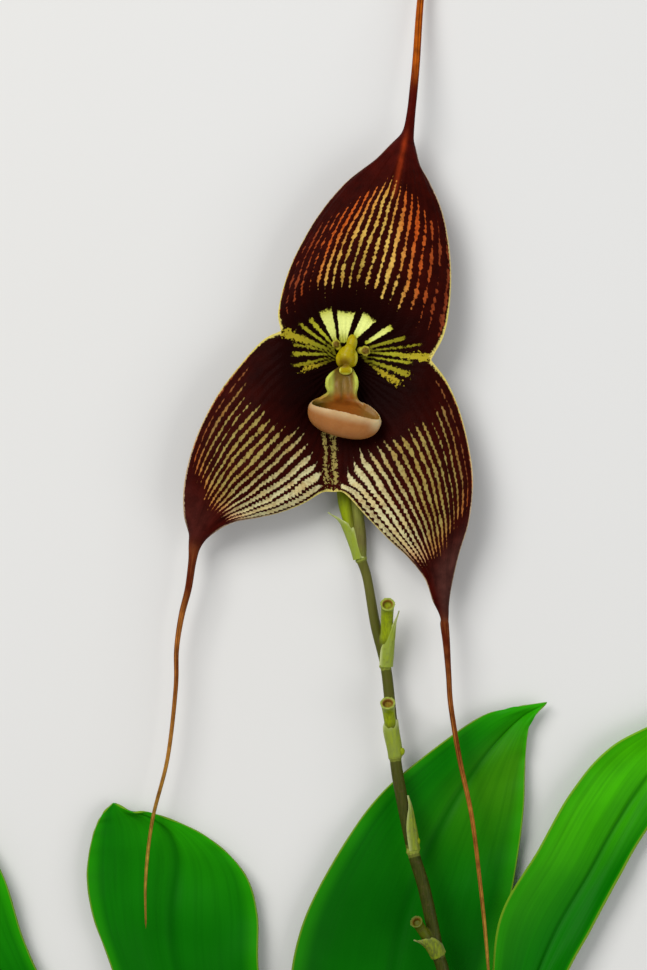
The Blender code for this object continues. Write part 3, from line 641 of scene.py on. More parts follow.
def make_blade(name, stations, tail):
    """One sepal: a bowed blade whose margins roll back into its long thin tail."""
    left, middle, right, half = sepal_lines(stations, tail)
    last = len(left) - 1
    seed = 3.1 * len(name)

    def place(across, along):
        t = along * last
        a = edge_at(left, t, NOTCH_STATION)
        c = edge_at(right, t, NOTCH_STATION)
        top = catmull(middle, t)
        bow = top - (a + c) / 2
        spot = a.lerp(c, across) + bow * (4 * across * (1 - across))
        free = float(smooth_step(2.05, 3.6, t)) * float(smooth_step(9.0, 7.0, t))
        spot.z += FOLD_HEIGHT * free * (0.5 - 0.5 * math.cos(2 * math.pi * FOLDS * across))
        spot.z += WAVE_HEIGHT * free * noise.noise(Vector((across * 4.0, t * 0.7, seed)))
        margin = abs(2 * across - 1) ** 6
        wave = noise.noise(Vector((across * 2.0, t * 2.6, seed + 9.0)))
        spot.z += MARGIN_WAVE_HEIGHT * free * margin * wave
        rolled = float(smooth_step(ROLL_START, ROLL_END, t))
        if rolled > 0.0:
            heading = catmull(middle, min(t + 0.08, last)) - catmull(middle, t - 0.08)
            straight = heading.cross(Vector((0.0, 0.0, 1.0))).normalized()
            side = (c - a).normalized().lerp(straight, float(smooth_step(8.5, 9.7, t))).normalized()
            width = math.exp(catmull(half, t).x)
            opening = math.radians(ROLL_OPENING + (180.0 - ROLL_OPENING) * rolled)
            radius = width / math.sin(min(opening, math.pi / 2))
            if t > last - 0.01:
                radius = TAIL_TIP_RADIUS
            turn = (2.0 * across - 1.0) * opening
            curl = top + side * (radius * math.sin(turn))
            curl = curl + Vector((0.0, 0.0, radius * (math.cos(turn) - 1.0)))
            spot = spot.lerp(curl, float(smooth_step(0.0, 0.75, rolled)))
        return spot + CUP

    blade = sheet(name, SEPAL_COLUMNS, last * ROWS_PER_STATION, place)
    move_uv(blade, "sepal", lambda places: places * (1.0, last / UV_STATIONS))
    return blade, last


def blade_places(blade, last):
    """Across and station of each point of a blade, its place from the cup's centre, and its distance
    in mm from the free margin."""
    rows = last * ROWS_PER_STATION + 1
    spots = spots_of(blade)
    across = np.tile(np.arange(SEPAL_COLUMNS + 1) / SEPAL_COLUMNS, rows)
    station = np.repeat(np.arange(rows) / ROWS_PER_STATION, SEPAL_COLUMNS + 1)
    grid = spots.reshape(rows, SEPAL_COLUMNS + 1, 3)
    widths = np.linalg.norm(np.diff(grid, axis=1), axis=2)
    run = np.concatenate([np.zeros((rows, 1)), np.cumsum(widths, axis=1)], axis=1)
    margin = np.minimum(run, run[:, -1:] - run).ravel()
    margin = np.where(station < NOTCH_STATION - 0.1, 9.0, margin)
    return across, station, spots, margin


def burst_field(spots):
    """How far inside a ray around the column each point lies in mm, its brightness and its speckle."""
    best = np.full(len(spots), -9.0)
    bright = np.zeros(len(spots))
    speckle = np.zeros(len(spots))
    for foot, end, foot_half, end_half, shine, rough in RAYS:
        line = np.array(end) - np.array(foot)
        length = np.hypot(*line)
        off = spots[:, :2] - np.array(foot)
        share = off @ line / length ** 2
        aside = np.abs(off[:, 0] * line[1] - off[:, 1] * line[0]) / length
        half = foot_half + (end_half - foot_half) * np.clip(share, 0.0, 1.2)
        inside = np.minimum(half - aside, np.minimum(share * length + 0.5, (1.0 - share) * length * 0.4))
        closer = inside > best
        best = np.where(closer, inside, best)
        foot_shade = 0.45 * smooth_step(0.35, 0.0, share)
        lit = shine * (1.0 - foot_shade - 0.40 * smooth_step(0.72, 1.05, share))
        bright = np.where(closer, lit, bright)
        speckle = np.where(closer, rough * smooth_step(0.2, 0.7, share), speckle)
    return best, bright, speckle


def seam_field(spots):
    """The two mottled strips below the lip, where the lower sepals meet: mm inside them."""
    bend = 0.05 * (spots[:, 1] + 21.0)
    first = 0.50 - np.abs(spots[:, 0] + 4.3 + bend)
    second = 0.62 - np.abs(spots[:, 0] + 2.4 + bend)
    ends = np.minimum(spots[:, 1] + 27.0, -13.5 - spots[:, 1])
    return np.minimum(np.maximum(first, second), ends * 0.4)


def upper_marks(across, station, spots, look):
    """Colour, width, gaps, beads and number of the stripes of the upper sepal."""
    off_middle = np.abs(2.0 * across - 1.06)
    hot = off_middle + 0.13 * (station - 4.3)
    light = blend(look.yellow, look.orange, smooth_step(0.12, 0.55, hot))
    light = blend(light, look.rust, smooth_step(0.45, 0.9, off_middle))
    patch = np.exp(-((spots[:, 0] - 2.4) / 3.2) ** 2 - ((spots[:, 1] - 20.5) / 5.5) ** 2)
    light = blend(light, look.ray_side, 0.55 * patch)
    reach = 0.36 - 0.24 * smooth_step(0.15, 0.9, off_middle) - 0.15 * patch
    reach += 0.7 * (smooth_step(1.9, 3.0, station) - 1.0)
    reach += 0.8 * (smooth_step(0.5, -0.6, station - 6.7 + 1.3 * off_middle) - 1.0)
    breaks = 0.36 + 0.22 * smooth_step(0.3, 0.9, off_middle)
    return light, reach, breaks, np.zeros(len(station)), 19.5 * across


def lower_marks(inner, station, starts, ends, look):
    """The same for a lower sepal, from how near each point is to the inner edge."""
    light = blend(look.rust, look.tan, smooth_step(0.0, 0.2, inner))
    light = blend(light, look.cream, smooth_step(0.45, 0.88, inner))
    end = np.interp(inner, *ends)
    light = blend(light, look.orange, 0.6 * smooth_step(-1.6, -0.1, station - end))
    start = np.interp(inner, *starts)
    reach = 0.18 + 0.22 * smooth_step(0.12, 0.45, inner) + 0.20 * smooth_step(0.58, 0.92, inner)
    reach += 0.9 * (smooth_step(-0.35, 0.45, station - start) - 1.0)
    reach += 1.3 * (smooth_step(0.5, -0.8, station - end) - 1.0)
    breaks = 0.28 - 0.20 * smooth_step(0.45, 0.8, inner) + 0.10 * np.exp(-((inner - 0.48) / 0.13) ** 2)
    beads = 0.19 * smooth_step(0.55, 0.85, inner) * smooth_step(2.6, 4.0, station)
    return light, reach, breaks, beads, 20.5 * inner - 3.6 * inner * inner


def colour_blade(blade, last, kind, look):
    """Lays the ground colour, the colour of the light marks, and how the marks run."""
    across, station, spots, margin = blade_places(blade, last)
    radius = np.hypot(spots[:, 0], spots[:, 1])
    ground = blend(look.dark, look.maroon, smooth_step(10.0, 28.0, radius))
    ground = blend(ground, look.tip, smooth_step(6.0, 8.2, station))
    if kind == "dorsal":
        light, reach, breaks, beads, lines = upper_marks(across, station, spots, look)
        off_streak = np.abs(spots[:, 0] - np.interp(spots[:, 1], *STREAK)) / 0.55
        streak = np.exp(-off_streak ** 2) * smooth_step(34.0, 39.0, spots[:, 1])
        ground = blend(ground, look.streak, 0.8 * streak)
    else:
        inner = 1.0 - across if kind == "left" else across
        starts, ends = (LEFT_STARTS, LEFT_ENDS) if kind == "left" else (RIGHT_STARTS, RIGHT_ENDS)
        light, reach, breaks, beads, lines = lower_marks(inner, station, starts, ends, look)
        # Painted sheen on the tips of the lower sepals, strongest on the right one and away from the
        # inner edge
        sheen = TIP_SHEEN[kind] * smooth_step(6.5, 8.0, station) * smooth_step(0.85, 0.4, inner)
        ground = blend(ground, look.tip_sheen, sheen)
        red = 0.8 * smooth_step(5.4, 7.0, station) * smooth_step(0.8, 0.98, inner)
        ground = blend(ground, look.tail_red, red)
    field, bright, speckle = burst_field(spots)
    ray = blend(look.ray_side, look.ray_middle, 2.0 * bright)
    ray = np.where(bright[:, None] > 0.5, blend(look.ray_middle, look.ray, 2.0 * bright - 1.0), ray)
    ray = blend(ray, look.ray_gold, 0.7 * speckle)
    light = blend(ray, light, smooth_step(-0.5, -1.3, field))
    seam = seam_field(spots)
    in_seam = (seam > -0.7) & (kind != "dorsal")
    light = blend(light, look.tan, np.where(in_seam, 1.0, 0.0))
    field = np.where(in_seam, seam - 0.1, field)
    speckle = np.where(in_seam, 1.0, speckle)
    for start, end, colour in TAIL_TINTS[kind]:
        ground = blend(ground, getattr(look, colour), smooth_step(start, end, station))
    margin = margin / (1.0 + 0.9 * smooth_step(4.0, 2.0, station))
    paint(blade, "ground", "FLOAT_COLOR", opaque(ground))
    paint(blade, "light", "FLOAT_COLOR", opaque(light))
    paint(blade, "marks", "FLOAT_VECTOR", np.stack([reach, breaks, beads], axis=1))
    paint(blade, "burst", "FLOAT_VECTOR", np.stack([field, speckle, margin], axis=1))
    paint(blade, "lines", "FLOAT", lines * look.stripes / STRIPES)
    return station, margin


def sepal_uv(tree):
    """Share across the blade, and station."""
    uv = add(tree, UV_MAP, uv_map="sepal")
    split = add(tree, SEPARATE, [uv])
    return split, add(tree, MATH, [split.node.outputs[1], UV_STATIONS], operation="MULTIPLY")


def stripe_mask(tree, split, station, ragged):
    """Where the light stripes are, how far each point is from the middle of its own, and the two
    numbers that tell the noises which stripe it is and how far along."""
    marks = add(tree, ATTRIBUTE, out=1, attribute_name="marks")
    marks = add(tree, SEPARATE, [marks]).node.outputs
    # Stripes about 2 mm apart, each wavering a little
    wide = add(tree, MATH, [split, 9.0], operation="MULTIPLY")
    waver_place = add(tree, COMBINE, [wide, station, 0.0])
    waver = add(tree, NOISE, {"Vector": waver_place, "Scale": 1.0, "Detail": 3.0})
    lines = add(tree, ATTRIBUTE, out=2, attribute_name="lines")
    stripe = add(tree, MATH, [waver, 0.7, lines], operation="MULTIPLY_ADD")
    order = add(tree, MATH, [stripe], operation="FLOOR")
    own_width = add(tree, DICE, {"W": order}, noise_dimensions="1D")
    own_width = add(tree, RANGE, [own_width, 0.0, 1.0, -0.10, 0.10])
    off_centre = add(tree, MATH, [stripe], operation="FRACT")
    off_centre = add(tree, MATH, [off_centre, 2.0, -1.0], operation="MULTIPLY_ADD")
    off_centre = add(tree, MATH, [off_centre], operation="ABSOLUTE")

    # Long gaps, beads about 1 mm long, and ragged edges
    far_apart = add(tree, MATH, [order, 7.31], operation="MULTIPLY")
    length_place = add(tree, MATH, [station, 2.6], operation="MULTIPLY")
    dash_place = add(tree, COMBINE, [far_apart, length_place, 0.0])
    dash = add(tree, NOISE, {"Vector": dash_place, "Scale": 1.0, "Detail": 4.0, "Roughness": 0.62})
    dash = add(tree, MATH, [dash, 0.5], operation="SUBTRACT")
    dash = add(tree, MATH, [dash, 4.0], operation="MULTIPLY")
    bead = add(tree, MATH, [station, 36.0, far_apart], operation="MULTIPLY_ADD")
    bead = add(tree, MATH, [waver, 14.0, bead], operation="MULTIPLY_ADD")
    bead = add(tree, MATH, [bead], operation="SINE")
    # The dark lines have beads of their own, the same on both of their sides
    dark_order = add(tree, MATH, [stripe], operation="ROUND")
    dark_bead = add(tree, MATH, [dark_order, 2.3], operation="MULTIPLY")
    dark_bead = add(tree, MATH, [station, 34.0, dark_bead], operation="MULTIPLY_ADD")
    dark_bead = add(tree, MATH, [waver, 12.0, dark_bead], operation="MULTIPLY_ADD")
    dark_bead = add(tree, MATH, [dark_bead], operation="SINE")
    reach = add(tree, MATH, [dash, marks[1], marks[0]], operation="MULTIPLY_ADD")
    reach = add(tree, MATH, [bead, 0.09, reach], operation="MULTIPLY_ADD")
    reach = add(tree, MATH, [dark_bead, marks[2], reach], operation="MULTIPLY_ADD")
    reach = add(tree, MATH, [ragged, 0.45, reach], operation="MULTIPLY_ADD")
    reach = add(tree, MATH, [reach, own_width], operation="ADD")
    reach = add(tree, MATH, [reach, off_centre], operation="SUBTRACT")
    striped = add(tree, RANGE, [reach, -0.10, 0.12, 0.0, 1.0], interpolation_type="SMOOTHSTEP")
    return striped, off_centre, far_apart, length_place


def ray_mask(tree, place, burst):
    """Where the rays around the column are, ragged and broken into specks at the sides."""
    specks = add(tree, NOISE, {"Vector": place, "Scale": SPECK_GRAIN, "Detail": 4.0, "Roughness": 0.65})
    specks = add(tree, MATH, [specks, 0.5], operation="SUBTRACT")
    loud = add(tree, MATH, [burst[1], 3.0, 0.75], operation="MULTIPLY_ADD")
    ray_reach = add(tree, MATH, [specks, loud, burst[0]], operation="MULTIPLY_ADD")
    return add(tree, RANGE, [ray_reach, -0.05, 0.16, 0.0, 1.0], interpolation_type="SMOOTHSTEP")


def mark_colour(tree, place, rayed, far_apart, length_place):
    """Colour of the light marks: each stripe has its own warmth and its dull patches."""
    light = add(tree, ATTRIBUTE, attribute_name="light")
    warm_place = add(tree, COMBINE, [far_apart, length_place, 5.0])
    warm = add(tree, NOISE, {"Vector": warm_place, "Scale": 0.6, "Detail": 1.0})
    warm = add(tree, RANGE, [warm, 0.42, 0.68, 0.0, 0.5])
    not_ray = add(tree, MATH, [1.0, rayed], operation="SUBTRACT")
    warm = add(tree, MATH, [warm, not_ray], operation="MULTIPLY")
    warmer = add(tree, MIX, {0: 1.0, 6: light, 7: WARMER}, 2, data_type="RGBA", blend_type="MULTIPLY")
    light = add(tree, MIX, {0: warm, 6: light, 7: warmer}, 2, data_type="RGBA")
    dull = add(tree, NOISE, {"Vector": place, "Scale": DULL_GRAIN, "Detail": 3.0, "Roughness": 0.6})
    dull = add(tree, RANGE, [dull, 0.45, 0.7, 0.0, 0.7])
    dull = add(tree, MATH, [dull, not_ray], operation="MULTIPLY")
    shaded = add(tree, MIX, {0: 1.0, 6: light, 7: DULLER}, 2, data_type="RGBA", blend_type="MULTIPLY")
    return add(tree, MIX, {0: dull, 6: light, 7: shaded}, 2, data_type="RGBA")


def ground_colour(tree, place, look):
    """Colour between the marks, mottled."""
    ground = add(tree, ATTRIBUTE, attribute_name="ground")
    cloud = add(tree, NOISE, {"Vector": place, "Scale": CLOUD_GRAIN, "Detail": 4.0})
    cloud = add(tree, RANGE, [cloud, 0.35, 0.75, 0.0, 0.6])
    return add(tree, MIX, {0: cloud, 6: ground, 7: look.dark}, 2, data_type="RGBA")


def tail_streaks(tree, split, station, tint, look):
    """Dark and light streaks that run the length of the tails."""
    slow = add(tree, MATH, [station, 0.7], operation="MULTIPLY")
    close = add(tree, MATH, [split, 15.0], operation="MULTIPLY")
    streak = add(tree, COMBINE, [close, slow, 3.0])
    streak = add(tree, NOISE, {"Vector": streak, "Scale": 1.0, "Detail": 3.0})
    streak = add(tree, RANGE, [streak, 0.42, 0.60, 0.0, 0.75])
    on_tail = add(tree, RANGE, [station, 8.6, 9.8, 0.0, 1.0])
    streak = add(tree, MATH, [streak, on_tail], operation="MULTIPLY")
    return add(tree, MIX, {0: streak, 6: tint, 7: look.tail_red}, 2, data_type="RGBA")


def pale_rim(tree, station, from_margin, ragged, tint, look):
    """Pale rim, as wide as the setting says and ragged on its inner side."""
    inward = add(tree, MATH, [ragged, 0.7, from_margin], operation="MULTIPLY_ADD")
    width = look.rim_width / MM
    rim = add(tree, RANGE, [inward, width * 0.6, width * 1.3, 1.0, 0.0])
    rim_end = add(tree, RANGE, [station, 7.4, 9.2, 0.9, 0.0])
    rim = add(tree, MATH, [rim, rim_end], operation="MULTIPLY")
    far = add(tree, RANGE, [station, 3.5, 6.5, 0.0, 1.0])
    rim_tint = add(tree, MIX, {0: far, 6: look.rim, 7: look.rim_far}, 2, data_type="RGBA")
    return add(tree, MIX, {0: rim, 6: tint, 7: rim_tint}, 2, data_type="RGBA")


def striped_skin(look):
    """Waxy petal tissue, grown: satin, with raised dark veins that catch thin highlights, a fine
    grain, and light stripes that break into beads."""
    made, tree, shader = material("waxy striped sepal skin")
    split, station = sepal_uv(tree)
    place = add(tree, COORDINATES, out=3)
    burst = add(tree, ATTRIBUTE, out=1, attribute_name="burst")
    burst = add(tree, SEPARATE, [burst]).node.outputs
    ragged = add(tree, NOISE, {"Vector": place, "Scale": RAGGED_GRAIN, "Detail": 2.0})
    ragged = add(tree, MATH, [ragged, 0.5], operation="SUBTRACT")
    striped, off_centre, far_apart, length_place = stripe_mask(tree, split, station, ragged)
    rayed = ray_mask(tree, place, burst)
    marked = add(tree, MATH, [striped, rayed], operation="MAXIMUM")
    light = mark_colour(tree, place, rayed, far_apart, length_place)
    ground = ground_colour(tree, place, look)
    tint = add(tree, MIX, {0: marked, 6: ground, 7: light}, 2, data_type="RGBA")
    tint = tail_streaks(tree, split, station, tint, look)
    tint = pale_rim(tree, station, burst[2], ragged, tint, look)
    tree.links.new(tint, shader.inputs["Base Color"])
    shader.inputs["Roughness"].default_value = 0.5
    shader.inputs["Specular IOR Level"].default_value = 0.02
    grain = add(tree, NOISE, {"Vector": place, "Scale": SKIN_GRAIN, "Detail": 3.0})
    veins = add(tree, RANGE, [station, 6.0, 8.2, 0.9, 0.15])
    height = add(tree, MATH, [off_centre, veins, grain], operation="MULTIPLY_ADD")
    bump = add(tree, BUMP, {"Height": height, "Strength": 0.5, "Distance": 0.3 * MM})
    tree.links.new(bump, shader.inputs["Normal"])
    return made


def dull_underside(look):
    """The same tissue from behind: duller, with the front's marks showing through faintly and
    close parallel veins."""
    made, tree, shader = material("dull sepal underside")
    split, station = sepal_uv(tree)
    ground = add(tree, ATTRIBUTE, attribute_name="ground")
    light = add(tree, ATTRIBUTE, attribute_name="light")
    place = add(tree, COORDINATES, out=3)
    stripe = add(tree, MATH, [split, 6.2832 * look.stripes], operation="MULTIPLY")
    stripe = add(tree, MATH, [stripe], operation="COSINE")
    show = add(tree, RANGE, [stripe, -0.2, 0.9, 0.10, 0.45])
    fade = add(tree, RANGE, [station, 5.5, 8.5, 1.0, 0.0])
    show = add(tree, MATH, [show, fade], operation="MULTIPLY")
    pale = add(tree, RANGE, [station, 4.0, 9.0, 0.55, 0.0])
    body = add(tree, MIX, {0: pale, 6: ground, 7: look.back}, 2, data_type="RGBA")
    tint = add(tree, MIX, {0: show, 6: body, 7: light}, 2, data_type="RGBA")
    mottle = add(tree, NOISE, {"Vector": place, "Scale": DULL_GRAIN, "Detail": 4.0})
    mottle = add(tree, RANGE, [mottle, 0.45, 0.8, 0.0, 0.45])
    tint = add(tree, MIX, {0: mottle, 6: tint, 7: ground}, 2, data_type="RGBA")
    tree.links.new(tint, shader.inputs["Base Color"])
    shader.inputs["Roughness"].default_value = 0.62
    shader.inputs["Specular IOR Level"].default_value = 0.2
    bump = add(tree, BUMP, {"Height": stripe, "Strength": 0.35, "Distance": 0.2 * MM})
    tree.links.new(bump, shader.inputs["Normal"])
    return made


def make_sepals(look):
    """The three sepals and their tails in one piece."""
    blades = []
    for kind, (stations, tail) in SEPALS.items():
        blade, last = make_blade(kind, stations, tail)
        station, margin = colour_blade(blade, last, kind, look)
        full = blade.vertex_groups.new(name="full")
        soft = blade.vertex_groups.new(name="soft")
        thin = np.interp(station, [*THIN_STATIONS, last - 1.0, last], THINNING)
        slack = smooth_step(2.9, 2.0, station) * smooth_step(0.3, 2.0, margin)
        for k in range(len(station)):
            full.add([k], float(thin[k]), "REPLACE")
            soft.add([k], float(slack[k]), "REPLACE")
        blades.append(blade)
    piece = join("striped_sepals", blades)
    merge_points(piece, 0.03)
    for skin in (striped_skin(look), dull_underside(look)):
        piece.data.materials.append(skin)
    apply_modifier(piece, "SMOOTH", factor=0.5, iterations=14, vertex_group="soft")
    apply_modifier(piece, "SOLIDIFY", thickness=look.thickness, offset=-1.0, vertex_group="full",
                   material_offset=1)
    return dress(piece, [], ["sepals"], angle=50.0)


# Lip: the pouch's middle, its lean about X and Z, and the neck's stations (left, middle, right)
POUCH_MIDDLE = (0.1, -11.0, 13.2)
POUCH_LEAN = (-70.0, 0.0, -13.0)
POUCH_WALL = 1.1
POUCH_RIM_ANGLE = 30.0
# Share of the way from the pouch's foot, over its rim and back in, at which the rim is reached
POUCH_TURN = 0.54
POUCH_CREASES = 34.0
POUCH_CREASE_HEIGHT = 0.07
NECK_THICKNESS = 0.85
NECK_RIDGE_HEIGHT = 0.55
NECK = [
    ((-1.5, -1.2, 10.2), (0.1, -1.2, 9.8), (1.5, -1.2, 10.2)),
    ((-2.9, -2.4, 11.6), (-0.2, -2.4, 10.2), (1.9, -2.4, 11.4)),
    ((-3.9, -3.7, 12.6), (-0.5, -3.7, 10.6), (2.5, -3.7, 12.2)),
    ((-4.1, -5.3, 12.4), (-0.7, -5.3, 10.9), (2.7, -5.3, 12.2)),
    ((-3.8, -6.9, 11.8), (-0.6, -6.9, 11.0), (2.4, -7.2, 11.8)),
    ((-5.6, -8.1, 11.0), (-0.5, -8.3, 10.5), (3.1, -9.0, 11.0)),
    ((-7.4, -9.8, 10.4), (-0.3, -9.8, 9.6), (6.2, -11.9, 10.2)),
]
# Column: name, middle, half sizes, lean in degrees and height of the warts
COLUMN_PARTS = [
    ("body", (0.4, 1.0, 10.1), (2.1, 2.5, 2.4), (-8, 0, 6), 0.12),
    ("anther_cap", (1.5, 4.1, 10.2), (1.2, 2.0, 1.5), (0, 0, -8), 0.08),
    ("wing", (-1.1, 0.3, 10.4), (0.9, 1.7, 1.1), (0, -18, 10), 0.0),
    ("wing", (1.9, 0.7, 10.3), (0.9, 1.9, 1.1), (0, 16, -6), 0.0),
    ("shoulder", (0.9, 2.6, 11.0), (1.3, 1.4, 1.3), (0, 0, 0), 0.0),
    ("foot", (0.15, -1.9, 11.5), (1.55, 1.2, 0.6), (28, 0, 0), 0.0),
]
# Petals: foot, tip and half thickness
PETALS = {
    "petal_left": ((-1.2, 2.9, 8.9), (-1.9, 3.9, 9.2), 0.95),
    "petal_right": ((3.0, 2.6, 9.0), (4.5, 2.4, 9.6), 1.1),
}


def tint_points(piece, rule):
    """Gives every point of a piece its colour by a rule of its place, in mm from the cup's centre."""
    colours = opaque(rule(spots_of(piece)))
    layer = piece.data.attributes.new("tint", "FLOAT_COLOR", "POINT")
    layer.data.foreach_set("color", colours.astype(np.float32).ravel())


def waxy_flesh(name, grain, depth, roughness, glow):
    """Juicy flower tissue: the colour laid on the piece, mottled, with fine pimples that break up
    the highlight and a little light carried inside."""
    made, tree, shader = material(name)
    tint = add(tree, ATTRIBUTE, attribute_name="tint")
    place = add(tree, COORDINATES, out=3)
    mottle = add(tree, NOISE, {"Vector": place, "Scale": FLESH_MOTTLE_GRAIN, "Detail": 5.0,
                         "Roughness": 0.6})
    mottle = add(tree, RANGE, [mottle, 0.3, 0.75, 0.0, 0.5])
    deeper = add(tree, MIX, {0: 1.0, 6: tint, 7: DEEPER}, 2, data_type="RGBA", blend_type="MULTIPLY")
    tint = add(tree, MIX, {0: mottle, 6: tint, 7: deeper}, 2, data_type="RGBA")
    tree.links.new(tint, shader.inputs["Base Color"])
    shader.inputs["Roughness"].default_value = roughness
    shader.inputs["Specular IOR Level"].default_value = 0.14
    shader.inputs["Subsurface Weight"].default_value = glow
    shader.inputs["Subsurface Radius"].default_value = (1.2 * MM, 0.7 * MM, 0.3 * MM)
    shader.inputs["Subsurface Scale"].default_value = 1.0
    pimples = add(tree, CELLS, {"Vector": place, "Scale": 1000.0 / grain})
    fine = add(tree, NOISE, {"Vector": place, "Scale": 3000.0 / grain, "Detail": 2.0})
    height = add(tree, MATH, [pimples, -1.0, fine], operation="MULTIPLY_ADD")
    bump = add(tree, BUMP, {"Height": height, "Strength": 0.5, "Distance": depth * MM})
    tree.links.new(bump, shader.inputs["Normal"])
    return made


def rounded(value, power):
    """A sine or cosine squared up towards a box, with its sign kept."""
    return math.copysign(abs(value) ** power, value)


def pouch_basis():
    """The way the pouch leans."""
    return Euler([math.radians(angle) for angle in POUCH_LEAN]).to_matrix()


def make_pouch(look):
    """A blunt slipper with a thick incurved rim, open towards the column."""
    basis = pouch_basis()
    wide = look.pouch_wide / MM
    deep = look.pouch_deep / MM
    tall = look.pouch_tall / MM
    rim = math.radians(POUCH_RIM_ANGLE)

    def place(along, turn):
        if along < POUCH_TURN:
            angle = -math.pi / 2 + (math.pi / 2 + rim) * along / POUCH_TURN
            thin = 0.0
        else:
            angle = rim - (math.pi / 2 + rim) * (along - POUCH_TURN) / (1.0 - POUCH_TURN)
            thin = POUCH_WALL * min(1.0, 9.0 * (along - POUCH_TURN))
        ring = rounded(math.cos(angle), 0.62)
        below = math.sin(angle) < 0.0
        height = -rounded(-math.sin(angle), 0.9) * (tall - thin) if below else math.sin(angle) * 2.6
        crease = POUCH_CREASE_HEIGHT * math.cos(POUCH_CREASES * turn) * max(0.0, -math.sin(angle)) * ring
        x = (wide - thin + crease) * ring * rounded(math.cos(turn), 0.86)
        y = (deep - thin + crease) * ring * rounded(math.sin(turn), 0.92)
        back = max(0.0, math.sin(turn)) ** 2
        height += 0.9 * back * (0.5 + 0.5 * math.sin(angle))
        height -= 0.02 * x * x * (1.0 - back) * (0.5 + 0.5 * math.sin(angle))
        return basis @ Vector((x, y, height)) + Vector(POUCH_MIDDLE) + CUP
    return round_form("pouch", 120, 90, place)


def make_neck():
    """The lip's neck: a trough with two upright side lobes and a double ridge along its floor."""
    left = [station[0] for station in NECK]
    middle = [station[1] for station in NECK]
    right = [station[2] for station in NECK]

    def place(across, along):
        t = along * (len(NECK) - 1)
        a = catmull(left, t)
        c = catmull(right, t)
        bow = catmull(middle, t) - (a + c) / 2
        spot = a.lerp(c, across) + bow * (1.0 - abs(2 * across - 1) ** 3)
        ridge = NECK_RIDGE_HEIGHT * math.exp(-((abs(across - 0.5) - 0.12) / 0.07) ** 2)
        spot.z += ridge * float(smooth_step(1.6, 3.2, t)) * float(smooth_step(5.6, 4.6, t))
        return spot + CUP

    neck = sheet("neck", 40, 48, place)
    return apply_modifier(neck, "SOLIDIFY", thickness=NECK_THICKNESS * MM, offset=0.0)


def lip_colours(look, piece):
    """Rule for the lip: amber inside the pouch, peach outside, cream lobes and a tan trough."""
    basis = np.array(pouch_basis())
    normals = np.empty(len(piece.data.vertices) * 3)
    piece.data.vertices.foreach_get("normal", normals)
    normals = normals.reshape(-1, 3) @ basis
    half = np.array([look.pouch_wide, look.pouch_deep, look.pouch_tall]) / MM

    def rule(spots):
        local = (spots - np.array(POUCH_MIDDLE)) @ basis
        flat = local / half * (1.0, 1.0, 0.4)
        inward = -np.sum(flat * normals, axis=1) / (np.linalg.norm(flat, axis=1) + 0.05)
        inside = smooth_step(0.05, 0.45, inward) * smooth_step(2.6, 1.4, local[:, 2])
        # Painted shade: the front turns to the darker blush towards the foot of the pouch, for shade on
        # its lower edge
        front = blend(look.peach, look.blush, smooth_step(-2.5, -6.2, local[:, 2]) * 0.6)
        front = blend(front, look.blush, smooth_step(-3.0, -7.6, local[:, 0]) * 0.45)
        # Painted highlight: the shine colour along the top of the rim, and fully on the lit right end of
        # the pouch
        front = blend(front, look.shine, smooth_step(-1.4, 0.8, local[:, 2]) * 0.55)
        lit_end = smooth_step(5.0, 7.8, local[:, 0]) * smooth_step(-3.5, 0.5, local[:, 2])
        front = blend(front, look.shine, lit_end)
        # Inside the pouch: olive at the left end is painted shade deep in the hollow, then amber, then
        # tan at the right end
        hollow = blend(look.olive, look.amber, smooth_step(-6.5, -2.5, local[:, 0]))
        hollow = blend(hollow, look.neck_tan, smooth_step(1.0, 5.5, local[:, 0]) * 0.8)
        front = blend(front, hollow, inside)
        off = spots[:, 0] + 0.7
        trough = blend(look.neck_tan, look.amber, smooth_step(-6.2, -8.2, spots[:, 1]))
        # Painted shade: olive where the trough runs in under the column, and along its middle groove
        trough = blend(trough, look.olive, 0.6 * smooth_step(-5.4, -3.0, spots[:, 1]))
        groove = np.exp(-(off / 0.35) ** 2) * smooth_step(-3.0, -4.4, spots[:, 1])
        trough = blend(trough, look.olive, groove * 0.45)
        lobes = np.maximum(smooth_step(-1.3, -2.5, off), smooth_step(2.1, 3.3, off))
        lobes = lobes * (0.95 - 0.75 * smooth_step(-5.5, -8.0, spots[:, 1]))
        neck = blend(trough, look.neck_cream, lobes)
        on_neck = smooth_step(-9.2, -8.0, spots[:, 1]) * smooth_step(14.6, 13.4, spots[:, 2])
        return blend(front, neck, on_neck)
    return rule


def make_lip(look):
    """The pouch and its neck, grown together."""
    piece = fuse("lip_pouch_and_neck", [make_pouch(look), make_neck()], "lip")
    tint_points(piece, lip_colours(look, piece))
    skin = waxy_flesh("waxy peach lip flesh", 0.55, 0.06, 0.38, 0.25)
    return dress(piece, [skin], ["lip"])


def make_column(look):
    """The short waxy column with its anther cap, side wings and pale foot."""
    parts = [knob(name, CUP + Vector(middle), half, lean=lean, warts=warts)
             for name, middle, half, lean, warts in COLUMN_PARTS]
    piece = fuse("column_with_anther_cap", parts, "column")

    def rule(spots):
        tint = blend(look.yellow, look.lemon, smooth_step(1.6, 2.6, spots[:, 0] - 0.3) * 0.7)
        tint = blend(tint, look.olive, smooth_step(9.6, 8.2, spots[:, 2]))
        heart = np.hypot(spots[:, 0] + 0.2, spots[:, 1] + 0.5)
        tint = blend(tint, look.brown, smooth_step(2.1, 0.5, heart) * 0.8)
        low = smooth_step(-1.0, -1.8, spots[:, 1])
        tint = blend(tint, look.yellow, low)
        edge = smooth_step(-2.3, -2.8, spots[:, 1]) + smooth_step(0.9, 1.3, np.abs(spots[:, 0] - 0.15))
        return blend(tint, look.lemon, low * np.minimum(edge, 1.0))
    tint_points(piece, rule)
    skin = waxy_flesh("waxy yellow column flesh", 0.35, 0.05, 0.3, 0.3)
    return dress(piece, [skin], ["column"])


